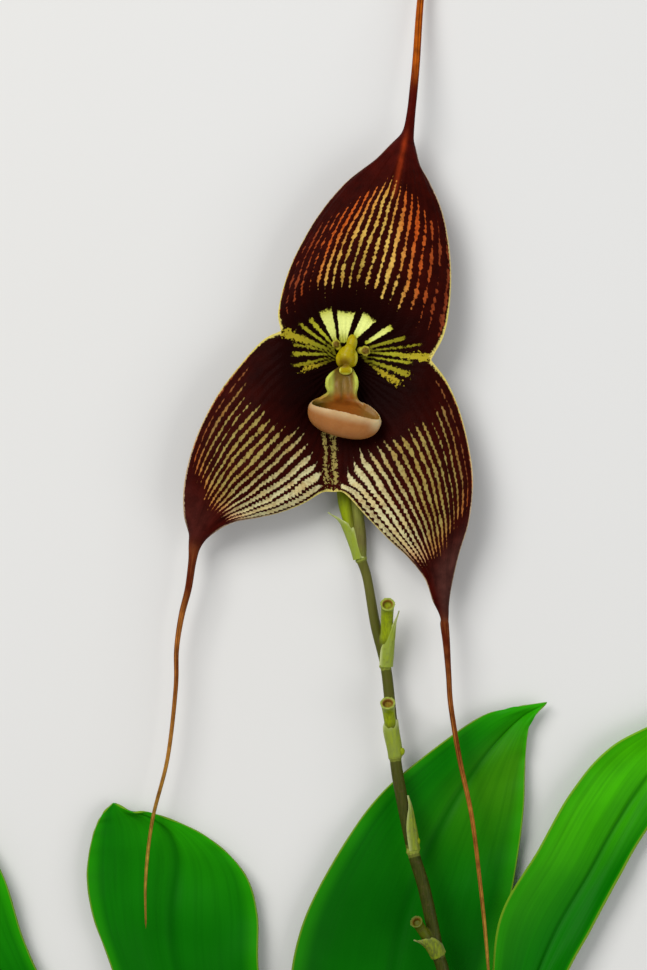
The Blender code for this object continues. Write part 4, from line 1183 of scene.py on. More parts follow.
def make_petal(node, foot, tip, thick, look):
    """A knob-like petal: a short waxy stalk that ends in a warty brown head."""
    foot = Vector(foot)
    tip = Vector(tip)
    along = tip - foot
    heading = math.degrees(math.atan2(along.y, along.x))
    slim = (along.length * 0.55, thick * 0.72, thick * 0.7)
    parts = [
        knob("stalk", CUP + foot.lerp(tip, 0.3), slim, lean=(0, -12, heading)),
        knob("head", CUP + tip, (thick * 0.95, thick, thick * 1.1), warts=0.30, wart_size=0.55),
    ]
    piece = fuse(node + "_knob", parts, "petal")

    def rule(spots):
        reach = np.hypot(spots[:, 0] - tip[0], spots[:, 1] - tip[1])
        # Painted light: the stalk turns to the lemon of the column's lit edges towards its top
        rim = blend(look.yellow, look.lemon, smooth_step(8.6, 10.4, spots[:, 2]) * 0.6)
        return blend(rim, look.brown, smooth_step(1.05 * thick, 0.5 * thick, reach) * 0.9)
    tint_points(piece, rule)
    skin = waxy_flesh("warty petal flesh of " + node, 0.25, 0.08, 0.35, 0.2)
    return dress(piece, [skin], [node])


def make_petals(look):
    """The two petals beside the column."""
    for node, (foot, tip, thick) in PETALS.items():
        make_petal(node, foot, tip, thick, look)


# Stalk behind the flower, from the centre of the cup, each point (x, y, z, radius)
PEDICEL = [
    (0.0, -0.2, 5.45, 1.1), (0.0, -0.9, 4.0, 1.1), (0.0, -3.2, 2.6, 1.2), (0.2, -6.8, 1.9, 1.4),
    (0.3, -13.0, 1.7, 1.6), (0.2, -20.0, 1.9, 1.7), (0.1, -29.7, 2.6, 1.75),
    (1.2, -36.3, 3.2, 1.2), (2.7, -41.4, 3.2, 0.75),
]
# Flowering stem from the origin, each point (x, y, z, radius)
STEM = [
    (5.9, 6.0, 3.2, 1.3), (6.3, 12.0, 3.4, 1.2), (8.0, 24.0, 4.2, 1.15), (12.4, 40.0, 5.6, 1.15),
    (15.4, 62.0, 6.8, 1.25), (15.6, 90.0, 8.0, 1.35), (14.1, 112.0, 8.8, 1.4), (12.8, 118.0, 8.9, 1.4),
    (9.8, 132.0, 8.6, 1.4), (7.3, 140.4, 8.2, 1.35), (4.6, 153.3, 7.2, 1.35), (3.4, 161.0, 6.4, 1.3),
    (2.4, 171.6, 5.2, 1.25), (1.3, 181.1, 4.2, 1.2), (-0.9, 190.0, 3.4, 1.15), (-2.7, 200.2, 2.8, 1.05),
    (-4.2, 205.0, 2.7, 1.15),
]
STEM_TIP = [(-4.0, 204.6, 2.9, 1.15), (-4.2, 208.5, 3.4, 1.35), (-4.6, 213.4, 3.7, 1.25),
            (-5.5, 219.0, 3.8, 1.0), (-6.0, 224.0, 3.9, 0.5)]
# Joints of the stem, each (station of the stem, radius)
STEM_JOINTS = [(3.0, 1.5), (4.5, 1.6), (7.0, 1.75), (9.0, 1.6), (11.0, 1.6), (13.0, 1.5), (15.9, 1.42)]
# Stalks of flowers that have dropped, ending in a hollow scar
SPENT_STALKS = [
    [(1.2, 182.0, 4.2, 0.9), (1.5, 187.0, 5.3, 1.3), (1.6, 191.4, 6.3, 1.38), (1.7, 193.8, 7.4, 1.42),
     (1.7, 194.9, 9.2, 1.55)],
    [(3.0, 165.0, 5.8, 1.2), (2.3, 168.6, 6.9, 1.3), (1.9, 171.4, 8.0, 1.38), (1.7, 173.2, 10.0, 1.6)],
    [(12.2, 118.2, 9.0, 1.2), (9.9, 122.2, 10.1, 1.15), (8.5, 124.4, 11.2, 1.15),
     (7.9, 125.4, 12.8, 1.32)],
]
# Papery bracts: path (x, y, z, radius it wraps), wrap at foot and tip in degrees, and its facing
BRACTS = [
    ([(-4.4, 204.8, 2.9, 1.35), (-5.5, 208.6, 3.0, 1.45), (-6.9, 211.8, 3.1, 1.3),
      (-8.7, 213.9, 3.8, 0.8), (-11.3, 215.3, 4.6, 0.3)], 120.0, 30.0, 165.0),
    ([(1.45, 181.0, 4.3, 1.4), (1.7, 184.6, 4.9, 1.45), (2.3, 188.0, 5.6, 1.1), (3.0, 190.6, 6.2, 0.6),
      (4.1, 193.4, 6.9, 0.2)], 150.0, 40.0, 20.0),
    ([(3.5, 161.0, 6.5, 1.5), (3.0, 164.4, 6.3, 1.65), (2.5, 167.2, 6.1, 1.7), (2.4, 169.2, 6.0, 1.55)],
     165.0, 100.0, 45.0),
    ([(7.3, 140.6, 8.3, 1.5), (6.7, 145.0, 8.2, 1.45), (6.3, 149.4, 7.9, 0.95), (5.9, 152.6, 7.8, 0.35)],
     95.0, 35.0, 28.0),
    ([(12.9, 117.6, 9.0, 1.7), (11.6, 119.8, 9.6, 1.7), (9.4, 121.0, 10.3, 0.9),
      (7.4, 121.4, 11.0, 0.35)], 150.0, 25.0, 150.0),
    ([(15.5, 76.0, 7.5, 1.6), (15.6, 80.0, 7.7, 1.8), (15.5, 84.0, 7.9, 1.6), (15.2, 87.0, 8.6, 0.9)],
     160.0, 25.0, 60.0),
]
BUDS = [((4.9, 162.3, 7.2), (0.7, 0.9, 0.7)), ((8.3, 142.6, 8.6), (0.6, 0.9, 0.7))]
BRACT_COLUMNS = 28
BRACT_ROWS = 36
BRACT_THICKNESS = 0.16
# Share of the way along a spent stalk and into its scar at which its end is reached
STUB_TURN = 0.72
OVARY_RIBS = 6


def path_samples(path, count=240):
    """Points along a path, with their station and radius."""
    stations = np.linspace(0.0, len(path) - 1.0, count)
    spots = np.array([catmull(path, t) for t in stations])
    return stations, spots[:, :3], spots[:, 3]


def near_path(spots, path):
    """Distance of each point from a path's skin, and the station that it is nearest to."""
    stations, line, radius = path_samples(path)
    apart = np.sqrt(((spots[:, None, :] - line[None, :, :]) ** 2).sum(axis=2))
    nearest = apart.argmin(axis=1)
    return apart[np.arange(len(spots)), nearest] - radius[nearest], stations[nearest]


def hollow_stalk(name, path, segments=32, rings=64):
    """A stalk that ends in a thick ring around a hollow scar."""
    last = len(path) - 1
    _, _, heading, _, _ = path_frame(path, last)

    def place(along, turn):
        if along < STUB_TURN:
            t = last * along / STUB_TURN
            here, radius, _, side, up = path_frame(path, t)
            radius += 0.22 * math.exp(-((last - t) / 0.10) ** 2)
            radius *= min(1.0, along * 25.0)
            return on_ring(here, radius, side, up, turn)
        inward = (along - STUB_TURN) / (1.0 - STUB_TURN)
        here, radius, _, side, up = path_frame(path, last)
        radius *= 0.66 * min(1.0, 2.2 * (1.0 - inward)) if inward > 0.12 else 1.0 - 2.4 * inward
        here = here - heading * (1.1 * min(1.0, max(0.0, inward - 0.05) * 2.2))
        return on_ring(here, radius, side, up, turn)
    return round_form(name, segments, rings, place)


def make_pedicel(look):
    """The flower's own stalk behind the sepals, with its six-ribbed ovary."""
    def skin(t, turn):
        ribbed = float(smooth_step(2.2, 3.2, t)) * float(smooth_step(6.6, 5.4, t))
        return 1.0 + 0.07 * ribbed * math.cos(OVARY_RIBS * turn)
    piece = close_seams(stalk("ribbed_pedicel", PEDICEL, 48, 120, CUP, skin))

    def rule(spots):
        tint = blend(look.pedicel, look.stem_green, smooth_step(-8.0, -2.0, spots[:, 1]))
        return blend(tint, look.stem_purple, 0.5 * smooth_step(0.4, 1.6, spots[:, 0]))
    tint_points(piece, rule)
    skin = fibrous_rind("waxy green rind of the ovary", 0.30, look)
    return dress(piece, [skin], ["pedicel_and_ovary"])


def fibrous_rind(name, spread, look):
    """Rind of a green flower stalk: satin, flecked with purple and faintly streaked along its length."""
    made, tree, shader = material(name)
    tint = add(tree, ATTRIBUTE, attribute_name="tint")
    place = add(tree, COORDINATES, out=3)
    # Streaks run along the stalk: the noise is drawn out eight times along Y
    long_place = add(tree, MAPPING, {0: place, 3: (1.0, 0.12, 1.0)})
    streak = add(tree, NOISE, {"Vector": long_place, "Scale": RIND_STREAK_GRAIN, "Detail": 3.0})
    streak = add(tree, RANGE, [streak, 0.35, 0.7, 0.0, spread])
    fleck = add(tree, NOISE, {"Vector": place, "Scale": RIND_FLECK_GRAIN, "Detail": 5.0,
                        "Roughness": 0.7})
    fleck = add(tree, RANGE, [fleck, 0.54, 0.68, 0.0, 0.9 * spread])
    tint = add(tree, MIX, {0: streak, 6: tint, 7: look.stem_olive}, 2, data_type="RGBA")
    tint = add(tree, MIX, {0: fleck, 6: tint, 7: look.stem_purple}, 2, data_type="RGBA")
    tree.links.new(tint, shader.inputs["Base Color"])
    shader.inputs["Roughness"].default_value = 0.42
    shader.inputs["Specular IOR Level"].default_value = 0.1
    bump = add(tree, BUMP, {"Height": streak, "Strength": 0.4, "Distance": 0.12 * MM})
    tree.links.new(bump, shader.inputs["Normal"])
    return made


def make_stem(look):
    """The jointed stem with the hollow stalks of three flowers that have dropped, and its buds."""
    parts = [stalk("stem", STEM, 24, 300), stalk("tip", STEM_TIP, 24, 50)]
    for station, radius in STEM_JOINTS:
        here, _, heading, _, _ = path_frame(STEM, station)
        angle = math.degrees(math.atan2(heading.y, heading.x)) - 90.0
        parts.append(knob("joint", here, (radius, 0.75, radius), 24, 14, lean=(0, 0, angle)))
    parts += [knob("bud", spot, half, 20, 14) for spot, half in BUDS]
    parts += [hollow_stalk("spent_stalk", path) for path in SPENT_STALKS]
    for part in parts:
        lay_flat(part)
    piece = fuse("jointed_stem", parts, "stem")

    def rule(spots):
        spots = spots + np.array(CUP)
        _, station = near_path(spots, STEM)
        tint = blend(look.stem_dark, look.stem_olive, smooth_step(9.0, 12.5, station))
        tint = blend(tint, look.stem_green, 0.2 * smooth_step(13.6, 14.6, station))
        tint = blend(tint, look.stem_purple, 0.3 * smooth_step(13.6, 14.6, station))
        for joint, _ in STEM_JOINTS:
            tint = blend(tint, look.stem_green, 0.85 * smooth_step(0.14, 0.04, np.abs(station - joint)))
        tip, _ = near_path(spots, STEM_TIP)
        purple = 0.75 - 0.35 * smooth_step(208.0, 216.0, spots[:, 1])
        flush = blend(look.stem_green, look.stem_purple, purple)
        tint = blend(tint, flush, smooth_step(0.5, 0.1, tip) * smooth_step(206.0, 208.5, spots[:, 1]))
        for path in SPENT_STALKS:
            off, along = near_path(spots, path)
            on_stub = smooth_step(0.45, 0.1, off) * smooth_step(0.6, 1.2, along)
            old = smooth_step(150.0, 130.0, spots[:, 1]) * 0.75
            tint = blend(tint, blend(look.pedicel, look.stem_dark, old), on_stub)
            ring = on_stub * smooth_step(len(path) - 1.35, len(path) - 1.1, along)
            tint = blend(tint, look.bract_tip, ring * (0.18 - 0.2 * old))
            inside = smooth_step(len(path) - 1.6, len(path) - 1.3, along) * smooth_step(-0.25, -0.5, off)
            tint = blend(tint, look.scar, inside)
        for spot, _ in BUDS:
            near = np.linalg.norm(spots - np.array(spot), axis=1)
            tint = blend(tint, look.pedicel, smooth_step(1.5, 0.9, near))
        return tint
    tint_points(piece, rule)
    skin = fibrous_rind("fibrous rind of the stem", 0.45, look)
    return dress(piece, [skin], ["flowering_stem"])


def make_bract(path, foot, tip, facing, look):
    """One bract: it wraps the stem by foot degrees and narrows to tip degrees; old ones are darker."""
    last = len(path) - 1

    def place(across, along):
        t = along * last
        here, radius, _, side, up = path_frame(path, t)
        spread = math.radians(foot + (tip - foot) * float(smooth_step(0.35, 1.0, along)))
        turn = math.radians(facing) + (2.0 * across - 1.0) * spread
        radius += 0.06 * math.sin(9.0 * turn + 3.0 * t)
        return on_ring(here, radius, side, up, turn)
    blade = sheet("bract", BRACT_COLUMNS, BRACT_ROWS, place)
    across, along = sheet_shares(BRACT_COLUMNS, BRACT_ROWS)
    thin = np.maximum(smooth_step(0.32, 0.5, np.abs(across - 0.5)), smooth_step(0.55, 1.0, along))
    tint = blend(look.bract, look.bract_tip, 0.8 * thin)
    withered = 0.65 * float(np.clip((181.0 - path[0][1]) / 65.0, 0.0, 1.0))
    tint = blend(tint, look.stem_dark, np.full(len(along), withered))
    paint(blade, "tint", "FLOAT_COLOR", opaque(tint))
    close_seams(blade, 0.02)
    return apply_modifier(blade, "SOLIDIFY", thickness=BRACT_THICKNESS * MM, offset=0.0)


def make_bracts(look):
    """Papery bracts that wrap the stem at its joints and end in fine points."""
    piece = join("papery_bracts", [make_bract(*bract, look) for bract in BRACTS])
    lay_flat(piece)
    return dress(piece, [bract_membrane(look)])


def bract_membrane(look):
    """Thin dry membrane: satin, veined along its length and flecked with purple."""
    made, tree, shader = material("papery membrane of the bracts")
    place = add(tree, COORDINATES, out=3)
    long_place = add(tree, MAPPING, {0: place, 3: (1.0, 0.15, 1.0)})
    vein = add(tree, NOISE, {"Vector": long_place, "Scale": SKIN_GRAIN, "Detail": 2.0})
    vein = add(tree, RANGE, [vein, 0.4, 0.65, 0.0, 0.5])
    fleck = add(tree, NOISE, {"Vector": place, "Scale": DULL_GRAIN, "Detail": 5.0, "Roughness": 0.7})
    fleck = add(tree, RANGE, [fleck, 0.56, 0.7, 0.0, 0.35])
    tint = add(tree, ATTRIBUTE, attribute_name="tint")
    tint = add(tree, MIX, {0: vein, 6: tint, 7: look.pedicel}, 2, data_type="RGBA")
    tint = add(tree, MIX, {0: fleck, 6: tint, 7: look.stem_purple}, 2, data_type="RGBA")
    tree.links.new(tint, shader.inputs["Base Color"])
    shader.inputs["Roughness"].default_value = 0.5
    shader.inputs["Specular IOR Level"].default_value = 0.12
    bump = add(tree, BUMP, {"Height": vein, "Strength": 0.4, "Distance": 0.1 * MM})
    tree.links.new(bump, shader.inputs["Normal"])
    return made


# Sockets of the rhizome: foot along X, heading in degrees from +X, and length
SOCKETS = {
    "leaf_far_left": (-12.0, 112.0, 11.0),
    "leaf_left": (-6.0, 100.0, 13.5),
    "leaf_middle": (0.3, 91.0, 11.5),
    "flowering_stem": (5.8, 87.0, 10.0),
    "leaf_right": (11.6, 79.0, 13.0),
}
SOCKET_Z = 3.2
LEAF_THICKNESS = 0.55
LEAF_COLUMNS = 64
LEAF_ROWS_PER_STATION = 14
# Relief of the leaves in mm: the channel over the midrib, slow waves, and waves of the margins
CHANNEL_DEPTH = 0.45
LEAF_WAVE_HEIGHT = 0.9
LEAF_MARGIN_HEIGHT = 0.5
LEAF_LOWEST = 0.4
# Small notch at the tip of the left leaf
TIP_NOTCH_X = -54.6
TIP_NOTCH_WIDTH = 2.6
STALK_RADIUS = 1.5


def socket_point(name, distance):
    """Point on a socket's axis at a distance from the rhizome."""
    x, heading, _ = SOCKETS[name]
    angle = math.radians(heading)
    return Vector((x + math.cos(angle) * distance, math.sin(angle) * distance, SOCKET_Z))


def leaf_skin(look):
    """Thick smooth leaf: the green laid on each leaf, a soft dark midrib, close lengthwise veins
    that show as faint streaks, thin and thick patches, and a fine pale margin."""
    made, tree, shader = material("smooth fleshy leaf skin")
    uv = add(tree, UV_MAP, uv_map="leaf")
    split = add(tree, SEPARATE, [uv])
    along = split.node.outputs[1]
    place = add(tree, COORDINATES, out=3)
    tint = add(tree, ATTRIBUTE, attribute_name="tint")
    off = add(tree, MATH, [split, 0.5], operation="SUBTRACT")
    off = add(tree, MATH, [off], operation="ABSOLUTE")

    # Veins about 1.6 mm apart, drawn out along the leaf
    wide = add(tree, MATH, [split, 26.0], operation="MULTIPLY")
    slow = add(tree, MATH, [along, 2.5], operation="MULTIPLY")
    vein_place = add(tree, COMBINE, [wide, slow, 0.0])
    vein = add(tree, NOISE, {"Vector": vein_place, "Scale": 1.0, "Detail": 3.0, "Roughness": 0.55})
    vein_mask = add(tree, RANGE, [vein, 0.42, 0.72, 0.0, 0.30])
    blotch = add(tree, NOISE, {"Vector": place, "Scale": LEAF_PATCH_GRAIN, "Detail": 3.0})
    blotch = add(tree, RANGE, [blotch, 0.38, 0.66, 0.0, 0.45])
    tint = add(tree, MIX, {0: blotch, 6: tint, 7: look.leaf_deep}, 2, data_type="RGBA")
    tint = add(tree, MIX, {0: vein_mask, 6: tint, 7: look.leaf_dark}, 2, data_type="RGBA")
    rib = add(tree, RANGE, [off, 0.0, 0.055, 0.6, 0.0], interpolation_type="SMOOTHSTEP")
    rib_end = add(tree, RANGE, [along, 0.75, 0.97, 1.0, 0.15])
    rib = add(tree, MATH, [rib, rib_end], operation="MULTIPLY")
    tint = add(tree, MIX, {0: rib, 6: tint, 7: look.leaf_dark}, 2, data_type="RGBA")
    # Painted highlight: a band of leaf light along both margins of the leaf
    glow = add(tree, RANGE, [off, 0.40, 0.492, 0.0, 0.4], interpolation_type="SMOOTHSTEP")
    tint = add(tree, MIX, {0: glow, 6: tint, 7: look.leaf_light}, 2, data_type="RGBA")
    margin = add(tree, RANGE, [off, 0.492, 0.499, 0.0, 0.5])
    tint = add(tree, MIX, {0: margin, 6: tint, 7: look.leaf_margin}, 2, data_type="RGBA")
    tree.links.new(tint, shader.inputs["Base Color"])
    shader.inputs["Roughness"].default_value = 0.45
    shader.inputs["Specular IOR Level"].default_value = 0.04
    bump = add(tree, BUMP, {"Height": vein, "Strength": 0.3, "Distance": 0.3 * MM})
    tree.links.new(bump, shader.inputs["Normal"])
    return made


def leaf_tint(name, across, along, look):
    """Green of each point of a leaf, from its share across and along the leaf."""
    # Each leaf darkens towards its foot in painted shade; the leaf light and fresh green towards the
    # tips are painted light
    if name == "leaf_right":
        fresh = smooth_step(0.38, 0.85, along + 0.25 * (0.5 - across))
        shaded = 0.5 * smooth_step(0.6, 0.9, across) * smooth_step(0.75, 0.4, along)
        return blend(blend(look.leaf_deep, look.leaf_fresh, fresh), look.leaf_dark, shaded)
    if name == "leaf_middle":
        tint = blend(look.leaf_dark, look.leaf_deep, smooth_step(0.35, 0.65, along))
        olive = 0.9 * smooth_step(0.45, 0.7, along) * smooth_step(0.2, 0.7, across)
        tint = blend(tint, look.leaf_olive, olive)
        return blend(tint, look.leaf_light, smooth_step(0.7, 0.95, along))
    tint = blend(look.leaf_dark, look.leaf_deep, smooth_step(0.2, 0.7, along))
    lit = 0.75 * smooth_step(0.5, 0.9, along) * smooth_step(0.1, 0.9, across)
    return blend(tint, look.leaf_light, lit)


def rib_at(name, t):
    """Share of the way across a leaf at which its midrib lies, which drifts on the left leaf."""
    return 0.5 + 0.36 * smooth_step(4.5, 8.6, t) if name == "leaf_left" else 0.5 + 0.0 * t


def past_rib(across, rib):
    """Share across the leaf, stretched so that the midrib falls at one half."""
    return np.where(across < rib, 0.5 * across / rib, 0.5 + 0.5 * (across - rib) / (1.0 - rib))


def leaf_blade(name, stations, look):
    """A blade with a soft channel along its midrib and waves in its margins."""
    left = [station[0] for station in stations]
    middle = [station[1] for station in stations]
    right = [station[2] for station in stations]
    last = len(stations) - 1
    seed = float(len(name))

    def place(across, along):
        t = along * last
        a = catmull(left, t)
        c = catmull(right, t)
        centre = (a + c) / 2
        foot_width = 0.3 + 0.7 * float(smooth_step(0.0, 0.7, t))
        a = centre.lerp(a, foot_width)
        c = centre.lerp(c, foot_width)
        spot = a.lerp(c, across) + (catmull(middle, t) - centre) * (4 * across * (1 - across))
        open_blade = float(smooth_step(0.2, 1.0, t)) * float(smooth_step(last, last - 1.0, t))
        off = abs(float(past_rib(across, rib_at(name, t))) - 0.5)
        spot.z -= CHANNEL_DEPTH * open_blade * math.exp(-(off / 0.04) ** 2)
        spot.z += LEAF_WAVE_HEIGHT * open_blade * noise.noise(Vector((across * 3.0, t * 0.9, seed)))
        wave = noise.noise(Vector((across * 2.0, t * 2.4, seed + 5.0)))
        spot.z += LEAF_MARGIN_HEIGHT * open_blade * (2 * off) ** 4 * wave
        if name == "leaf_left":
            at_tip = float(smooth_step(last - 1.3, last - 0.4, t))
            notch = math.exp(-((spot.x - TIP_NOTCH_X) / TIP_NOTCH_WIDTH) ** 2) * at_tip
            spot.y -= 1.0 * notch
            spot.z += 1.2 * notch
        spot.z = max(spot.z, LEAF_LOWEST)
        return spot

    rows = last * LEAF_ROWS_PER_STATION
    blade = sheet("blade", LEAF_COLUMNS, rows, place)
    across, along = sheet_shares(LEAF_COLUMNS, rows)
    paint(blade, "tint", "FLOAT_COLOR", opaque(leaf_tint(name, across, along, look)))
    move_uv(blade, "leaf", lambda places: np.stack(
        [past_rib(places[:, 0], rib_at(name, places[:, 1] * last)), places[:, 1]], axis=1))
    close_seams(blade, 0.001)
    return apply_modifier(blade, "SOLIDIFY", thickness=LEAF_THICKNESS * MM, offset=0.0)


def leaf_foot(name, middle, look):
    """The stalk of a leaf, from its socket in the rhizome into the foot of its blade."""
    mouth = SOCKETS[name][2]
    base = Vector(middle[0])
    heading = (catmull(middle, 0.15) - base).normalized()
    foot = [(*socket_point(name, mouth + step), STALK_RADIUS) for step in (-4.7, 0.5, 3.0)]
    path = foot + [(*base.lerp(Vector(foot[-1][:3]), 0.4), STALK_RADIUS),
                   (*(base + heading * 1.5), STALK_RADIUS), (*(base + heading * 9.0), 0.6)]
    piece = stalk("leaf_stalk", path, 24, 60)
    # One place beside the midrib for all of it, so that it shows plain green
    move_uv(piece, "leaf", lambda places: np.tile([0.25, 0.1], (len(places), 1)))
    count = len(piece.data.vertices)
    paint(piece, "tint", "FLOAT_COLOR", np.tile([*look.leaf_deep, 1.0], (count, 1)))
    return close_seams(piece, 0.001)


def make_leaf(name, stations, skin, look):
    """One leaf: its blade and the stalk in its sheath."""
    middle = [station[1] for station in stations]
    piece = join(name + "_blade", [leaf_blade(name, stations, look), leaf_foot(name, middle, look)])
    lay_flat(piece)
    return dress(piece, [skin], [name])


# Centre line of the rhizome, each point (x, y, radius)
RHIZOME = [(-17.0, -1.6, 1.3), (-14.5, -0.8, 2.5), (-9.0, 0.4, 3.0), (-4.0, -0.2, 2.7),
           (0.0, 0.0, 3.0), (4.0, 0.4, 2.7), (9.0, 0.3, 3.0), (13.5, -0.6, 2.5),
           (16.0, -1.2, 1.4)]
ROOT_COUNT = 10
ROOT_LENGTH = (30.0, 52.0)
ROOT_RADIUS = 0.8
ROOT_SEGMENTS = 7
BARK_RELIEF = 0.35
SHEATH_COLUMNS = 56
SHEATH_ROWS = 30
SHEATH_THICKNESS = 0.3


def root_path(rng, k):
    """A root that leaves the rhizome and wanders off along the surface."""
    x = -14.0 + 28.0 * k / (ROOT_COUNT - 1)
    angle = math.radians(-90 + (k - (ROOT_COUNT - 1) / 2) * 12 + rng.uniform(-5, 5))
    length = rng.uniform(*ROOT_LENGTH)
    points = [(x, 0.5, 2.4, ROOT_RADIUS)]
    for i in range(1, ROOT_SEGMENTS + 1):
        angle += math.radians(rng.uniform(-14, 14))
        x_step = math.cos(angle) * length / ROOT_SEGMENTS
        y_step = math.sin(angle) * length / ROOT_SEGMENTS
        px, py, pz, _ = points[-1]
        radius = ROOT_RADIUS * (1 - 0.45 * i / ROOT_SEGMENTS)
        points.append((px + x_step, py + y_step, max(radius, pz - 0.5), radius))
    return points


def earthy_skin(name, first, second, scale, depth):
    """Dry plant skin that has been in the ground: matt, ridged across, with darker cracks."""
    made, tree, shader = material(name)
    place = add(tree, COORDINATES, out=3)
    patch = add(tree, NOISE, {"Vector": place, "Scale": scale, "Detail": 6.0, "Roughness": 0.65})
    share = add(tree, RANGE, [patch, 0.35, 0.65, 0.0, 1.0])
    first = first or add(tree, ATTRIBUTE, attribute_name="tint")
    tint = add(tree, MIX, {0: share, 6: second, 7: first}, 2, data_type="RGBA")
    tree.links.new(tint, shader.inputs["Base Color"])
    shader.inputs["Roughness"].default_value = 0.8
    shader.inputs["Specular IOR Level"].default_value = 0.25
    bump = add(tree, BUMP, {"Height": patch, "Strength": 0.7, "Distance": depth * MM})
    tree.links.new(bump, shader.inputs["Normal"])
    return made


def make_root(rng, k):
    """One root, unevenly thick."""
    def skin(t, turn):
        return 1.0 + 0.22 * noise.noise(Vector((t * 2.2, turn * 0.4, k * 3.0)))
    return stalk("root", root_path(rng, k), 14, 90, skin=skin)


def make_rhizome(look):
    """The knobbly rhizome with its roots."""
    parts = [stalk("body", [(x, y, radius * 0.8, radius) for x, y, radius in RHIZOME], 48, 120)]
    for vertex in parts[0].data.vertices:
        spot = vertex.co / MM
        vertex.co += vertex.co.normalized() * BARK_RELIEF * MM * noise.noise(spot / 1.6)
    rng = random.Random(7)
    parts += [make_root(rng, k) for k in range(ROOT_COUNT)]
    for part in parts:
        lay_flat(part)
    piece = fuse("rooted_rhizome", parts, "rhizome")

    def rule(spots):
        spots = spots + np.array(CUP)
        away = np.hypot(spots[:, 0] * 0.25, spots[:, 1] - 0.5)
        tint = blend(look.bark, look.root, smooth_step(4.5, 9.0, away))
        return blend(tint, look.root_tip, 0.7 * smooth_step(30.0, 38.0, -spots[:, 1]))
    tint_points(piece, rule)
    skin = earthy_skin("corky skin of the rhizome", None, look.bark_dark, BARK_GRAIN, 0.4)
    return dress(piece, [skin], ["rhizome"])


def make_sheath(name, mouth):
    """One papery sheath around a stalk's foot, with a torn edge."""
    foot = socket_point(name, 0.2)
    tip = socket_point(name, mouth)
    path = [(*foot, 2.7), (*foot.lerp(tip, 0.5), 2.65), (*tip, 2.35)]
    seed = float(len(name))

    def place(across, along):
        turn = across * 2.0 * math.pi
        around = Vector((1.4 * math.cos(turn), 1.4 * math.sin(turn), seed))
        torn = 1.0 - 0.16 * (0.5 + 0.5 * noise.noise(around)) - 0.05 * math.sin(turn + seed)
        here, radius, _, side, up = path_frame(path, along * 2.0 * torn)
        radius += 0.08 * math.cos(14.0 * turn)
        radius += 0.15 * noise.noise(around * 0.5 + Vector((0.0, 0.0, along * 3.0)))
        return on_ring(here, radius, side, up, turn)
    blade = close_seams(sheet("sheath", SHEATH_COLUMNS, SHEATH_ROWS, place), 0.02)
    return apply_modifier(blade, "SOLIDIFY", thickness=SHEATH_THICKNESS * MM, offset=-1.0)


def make_sheaths(look):
    """Torn papery sheaths around the feet of the leaf stalks and the stem."""
    piece = join("torn_sheaths", [make_sheath(name, mouth) for name, (_, _, mouth) in SOCKETS.items()])
    lay_flat(piece)
    skin = earthy_skin("papery skin of the sheaths", look.sheath, look.bark, SHEATH_GRAIN, 0.2)
    return dress(piece, [skin])


FLOOR_WIDTH = 6.0
# Lamps: name, place in metres, width in metres and the setting of their power
LAMPS = [("key", (-0.75, 0.95, 1.15), 0.9, "key_power"), ("fill", (1.0, -0.1, 0.9), 1.0, "fill_power")]
LAMP_AIM = Vector((0.0, 0.22, 0.0))
SENSOR_HEIGHT = 36.0
# Height in mm above the floor at which the camera sees the photograph's scale
FOCUS_HEIGHT = 10


def make_stage(look):
    """Pale floor, soft studio light, and the camera at the photograph's viewing angle."""
    bpy.ops.object.select_all(action="DESELECT")
    bpy.ops.mesh.primitive_plane_add(size=FLOOR_WIDTH)
    floor = bpy.context.object
    floor.name = "floor"
    made, tree, shader = material("matt pale paper floor")
    place = add(tree, COORDINATES, out=3)
    cloud = add(tree, NOISE, {"Vector": place, "Scale": FLOOR_GRAIN, "Detail": 2.0})
    cloud = add(tree, RANGE, [cloud, 0.3, 0.7, 0.0, 0.25])
    tint = add(tree, MIX, {0: cloud, 6: look.floor, 7: look.sky}, 2, data_type="RGBA")
    tree.links.new(tint, shader.inputs["Base Color"])
    shader.inputs["Roughness"].default_value = 0.9
    floor.data.materials.append(made)
    for name, spot, width, power in LAMPS:
        lamp = bpy.data.lights.new(name, "AREA")
        lamp.size = width
        lamp.energy = getattr(look, power)
        holder = bpy.data.objects.new(name, lamp)
        holder.location = spot
        aim = LAMP_AIM - Vector(spot)
        holder.rotation_euler = aim.to_track_quat("-Z", "Y").to_euler()
        bpy.context.scene.collection.objects.link(holder)
    world = bpy.data.worlds.new("pale room")
    world.use_nodes = True
    background = world.node_tree.nodes["Background"]
    background.inputs["Color"].default_value = (*tuple(look.sky), 1.0)
    background.inputs["Strength"].default_value = look.room_light
    bpy.context.scene.world = world
    view = bpy.data.cameras.new("camera")
    view.lens = look.lens
    view.sensor_fit = "VERTICAL"
    view.sensor_height = SENSOR_HEIGHT
    distance = PHOTO_SIZE[1] * PHOTO_PIXEL * view.lens / view.sensor_height
    camera = bpy.data.objects.new("camera", view)
    camera.location = ((PHOTO_SIZE[0] / 2 - ORIGIN_PIXEL[0]) * PHOTO_PIXEL,
                       (ORIGIN_PIXEL[1] - PHOTO_SIZE[1] / 2) * PHOTO_PIXEL, FOCUS_HEIGHT * MM + distance)
    bpy.context.scene.collection.objects.link(camera)
    bpy.context.scene.camera = camera
    bpy.context.scene.view_settings.view_transform = "Standard"


class ORCHID_OT_sepals(bpy.types.Operator):
    """Three striped sepals grown into one cup, with their long tails"""
    bl_idname = "orchid.sepals"
    bl_label = "Sepals"

    def execute(self, context):
        make_sepals(context.scene.orchid_sepals)
        return {"FINISHED"}


class ORCHID_OT_lip(bpy.types.Operator):
    """The lip: a thick-rimmed pouch on a lobed neck"""
    bl_idname = "orchid.lip"
    bl_label = "Lip"

    def execute(self, context):
        make_lip(context.scene.orchid_face)
        return {"FINISHED"}


